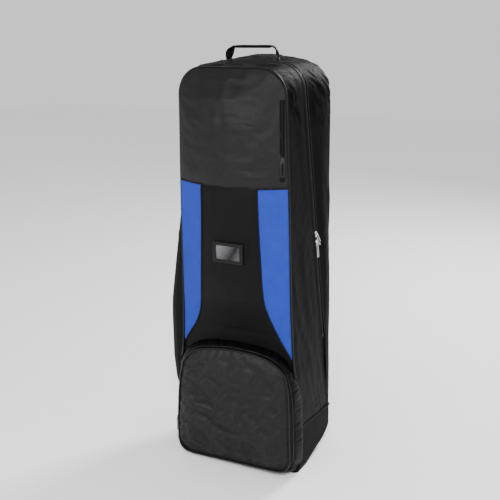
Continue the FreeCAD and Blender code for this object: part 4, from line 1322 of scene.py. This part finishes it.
def make_handle():
    """The webbing handle, its rolled grip and its two sewn patches."""
    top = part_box("top_handle")[1][2] - 0.0016
    knots = [(-0.0835, 0, 1.2635), (-0.0840, 0.0005, 1.272), (-0.0800, 0.001, 1.287),
             (-0.0680, 0.001, top - 0.004), (-0.050, 0, top), (0, 0, top), (0.050, 0, top),
             (0.0690, -0.001, top - 0.004), (0.0800, -0.002, 1.287), (0.0840, -0.001, 1.272),
             (0.0835, 0, 1.2635)]
    path = smooth_path(knots, 90)

    def wide_of(share):
        twist = 1.0 * math.exp(-((share - 0.10) / 0.06) ** 2) - 0.8 * math.exp(-((share - 0.90) / 0.07) ** 2)
        return Vector((math.sin(twist), math.cos(twist), 0))

    webbing = strap("handle_webbing", path, wide_of, 0.0245, 0.0030)
    webbing.data.materials.append(MATERIALS["webbing_black"])
    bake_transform(webbing)
    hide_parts("top_handle")
    rolled = []
    for k in range(25):
        rolled.append(Vector((mix(-0.056, 0.056, k / 24), 0, top - 0.0028)))
    grip = cord_of("handle_grip_roll", rolled, 0.0043, 14)
    for vertex in grip.data.vertices:
        vertex.co.y *= 2.4
    finish(grip, "webbing_black", "top_handle")
    for side, name, turn in ((1, "right", -0.35), (-1, "left", 0.1)):
        def tab(i, j, side=side, turn=turn):
            return on_patch(side, turn, mix(-0.020, 0.020, i), mix(-0.0145, 0.0145, j), 0.0014)

        piece = sheet_of("handle_patch_" + name, 12, 10, tab)
        thicken(piece, 0.0012)
        finish(piece, "webbing_black", "rear_shell", ("handle_patches",) if side > 0 else ())
        corners = [on_patch(side, turn, a * 0.017, b * 0.0115, 0.0015)
                   for a, b in ((-1, -1), (1, -1), (1, 1), (-1, 1), (-1, -1), (1, 1))]
        path = []
        for first, second in zip(corners, corners[1:]):
            path += [(first.lerp(second, k / 8), Vector((0, 0, 1))) for k in range(9)]
        sew("handle_stitches_" + name, path, 0.0034, (0.0022, 0.0006, 0.0005), "rear_shell")


def on_patch(side, turn, along, over, lift):
    """A point above a handle patch, at two distances from the patch's middle."""
    x = side * PATCH_X + along * math.cos(turn) - over * math.sin(turn)
    y = along * math.sin(turn) + over * math.cos(turn)
    return Vector((x, y, wall_top(x, y) + lift))


def wall_top(x, y):
    shape = top_shape(y)
    half = half_width(1, y, shape["level"] - shape["round"])
    return shape["level"] + shape["dome"] * (1 - abs(x / half) ** 1.8)


# ---------- window ----------

def rounded_loop(half_x, half_z, radius, centre_z, steps=8):
    points = []
    for sx, sz, start in ((1, -1, -90), (1, 1, 0), (-1, 1, 90), (-1, -1, 180)):
        for k in range(steps + 1):
            turn = math.radians(start + 90 * k / steps)
            points.append((sx * (half_x - radius) + radius * math.cos(turn),
                           centre_z + sz * (half_z - radius) + radius * math.sin(turn)))
    return points


def make_window():
    """The black patch, its raised frame round the clear window, and two rows of stitches."""
    low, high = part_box("window_patch")
    centre = (low[2] + high[2]) / 2
    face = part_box("window_frame")[0][1]
    outer = rounded_loop(0.052, 0.032, 0.006, centre)
    inner = rounded_loop(0.0400, 0.0215, 0.002, centre)

    def ring(name, loops, slot, nodes, depth):
        count = len(loops[0][0])

        def place(i, j):
            loop, proud = loops[round(i * (len(loops) - 1))]
            x, z = loop[round(j * count) % count]
            if z > centre + 0.029:
                proud = min(proud, 0.0008)
            return Vector((x, face + proud, z))

        piece = sheet_of(name, len(loops) - 1, count, place, Vector((0, 0, centre)), closed=True)
        thicken(piece, depth)
        finish(piece, slot, "front_cover", nodes)

    near_outer = rounded_loop(0.0505, 0.0305, 0.005, centre)
    middle = rounded_loop(0.0465, 0.0270, 0.004, centre)
    near_inner = rounded_loop(0.0412, 0.0227, 0.003, centre)
    ring("window_surround", [(outer, 0.0035), (outer, 0.0012), (near_outer, 0.0002), (middle, 0.0),
                             (near_inner, 0.0002), (inner, 0.0005), (inner, 0.0008)],
         "piping_black", ("window_frame",), 0.0007)

    def backing(i, j):
        x, z = mix(-0.0515, 0.0515, j), centre + mix(-0.0315, 0.0315, i)
        return Vector((x, -0.1765, z))

    piece = sheet_of("window_backing", 12, 20, backing, Vector((0, 0, centre)))
    thicken(piece, 0.0008)
    finish(piece, "shell_black", "front_cover", ("window_patch",))
    for name, half_x, half_z in (("outer", 0.0490, 0.0290), ("inner", 0.0432, 0.0247)):
        loop = rounded_loop(half_x, half_z, 0.003, centre)
        path = [(Vector((x, face, z)), Vector((0, -1, 0))) for x, z in loop + loop[:1]]
        sew("window_stitches_" + name, path, 0.0032, (0.0021, 0.0006, 0.0005), "front_cover")


# ---------- inside ----------

STRAP_Y = 0.1312


def make_inside():
    """The club head cushion and the compression straps."""
    low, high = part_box("club_head_pad")

    def pad(front):
        def place(i, j):
            u, v = 2 * j - 1, 2 * i - 1
            full = (1 - u ** 6) ** 0.5 * (1 - v ** 6) ** 0.5
            channel = 1 - 0.35 * math.exp(-((u * 3 % 2 - 1) / 0.10) ** 2)
            thick = (0.003 + 0.012 * full * channel) if front else 0
            pull = 1 - 0.025 * abs(u * v)
            x = mix(low[0], high[0], j) * pull
            z = mix(low[2], high[2], i)
            return Vector((x, high[1] - 0.0005 - thick * (1 if 0 < i < 1 and 0 < j < 1 else 0), z))
        return place

    body = mesh_join("club_head_cushion",
                     [sheet_of("pad_front", 40, 60, pad(True), Vector((0, 0.3, 1.02))),
                      sheet_of("pad_back", 40, 60, pad(False), Vector((0, -0.3, 1.02)))])
    weld(body)
    finish(body, "foam_grey", "rear_shell", ("club_head_pad",))

    low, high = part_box("compression_straps")
    for name, z in (("upper", high[2] - 0.019), ("lower", low[2] + 0.019)):
        path = []
        for k in range(61):
            ripple = 0.0006 * math.sin(k * 0.5)
            path.append(Vector((mix(low[0], high[0], k / 60), STRAP_Y + ripple, z)))
        piece = strap("inner_strap_" + name, path, lambda share: Vector((0, 0, 1)), 0.038, 0.0014)
        finish(piece, "webbing_black", "rear_shell", ("compression_straps",) if name == "upper" else ())


def mesh_join(name, parts):
    points, faces = [], []
    for part in parts:
        start = len(points)
        points += [vertex.co.copy() for vertex in part.data.vertices]
        faces += [tuple(start + k for k in polygon.vertices) for polygon in part.data.polygons]
        bpy.data.objects.remove(part)
    return mesh_object(name, points, faces)


# ---------- carried-over CAD pieces ----------

def paint_kept_nodes():
    """Every CAD node that still shows gets the finish of its own slot."""
    for part in frame["record"]["subparts"]:
        for node in part.get("nodes", [part.get("node")]):
            if node in frame["nodes"] and part["material_slot"] in MATERIALS:
                shape = frame["nodes"][node].data
                shape.materials.clear()
                shape.materials.append(MATERIALS[part["material_slot"]])


RECORD_SLOTS = {entry["slot"] for entry in frame["record"]["materials"]}
make_camera()
MATERIALS = make_materials()
make_studio()
make_walls()
make_back()
make_boot()
make_front()
make_main_zip()
make_top_zip()
make_shoe_pocket()
make_side_pocket()
make_handle()
make_window()
make_inside()
paint_kept_nodes()
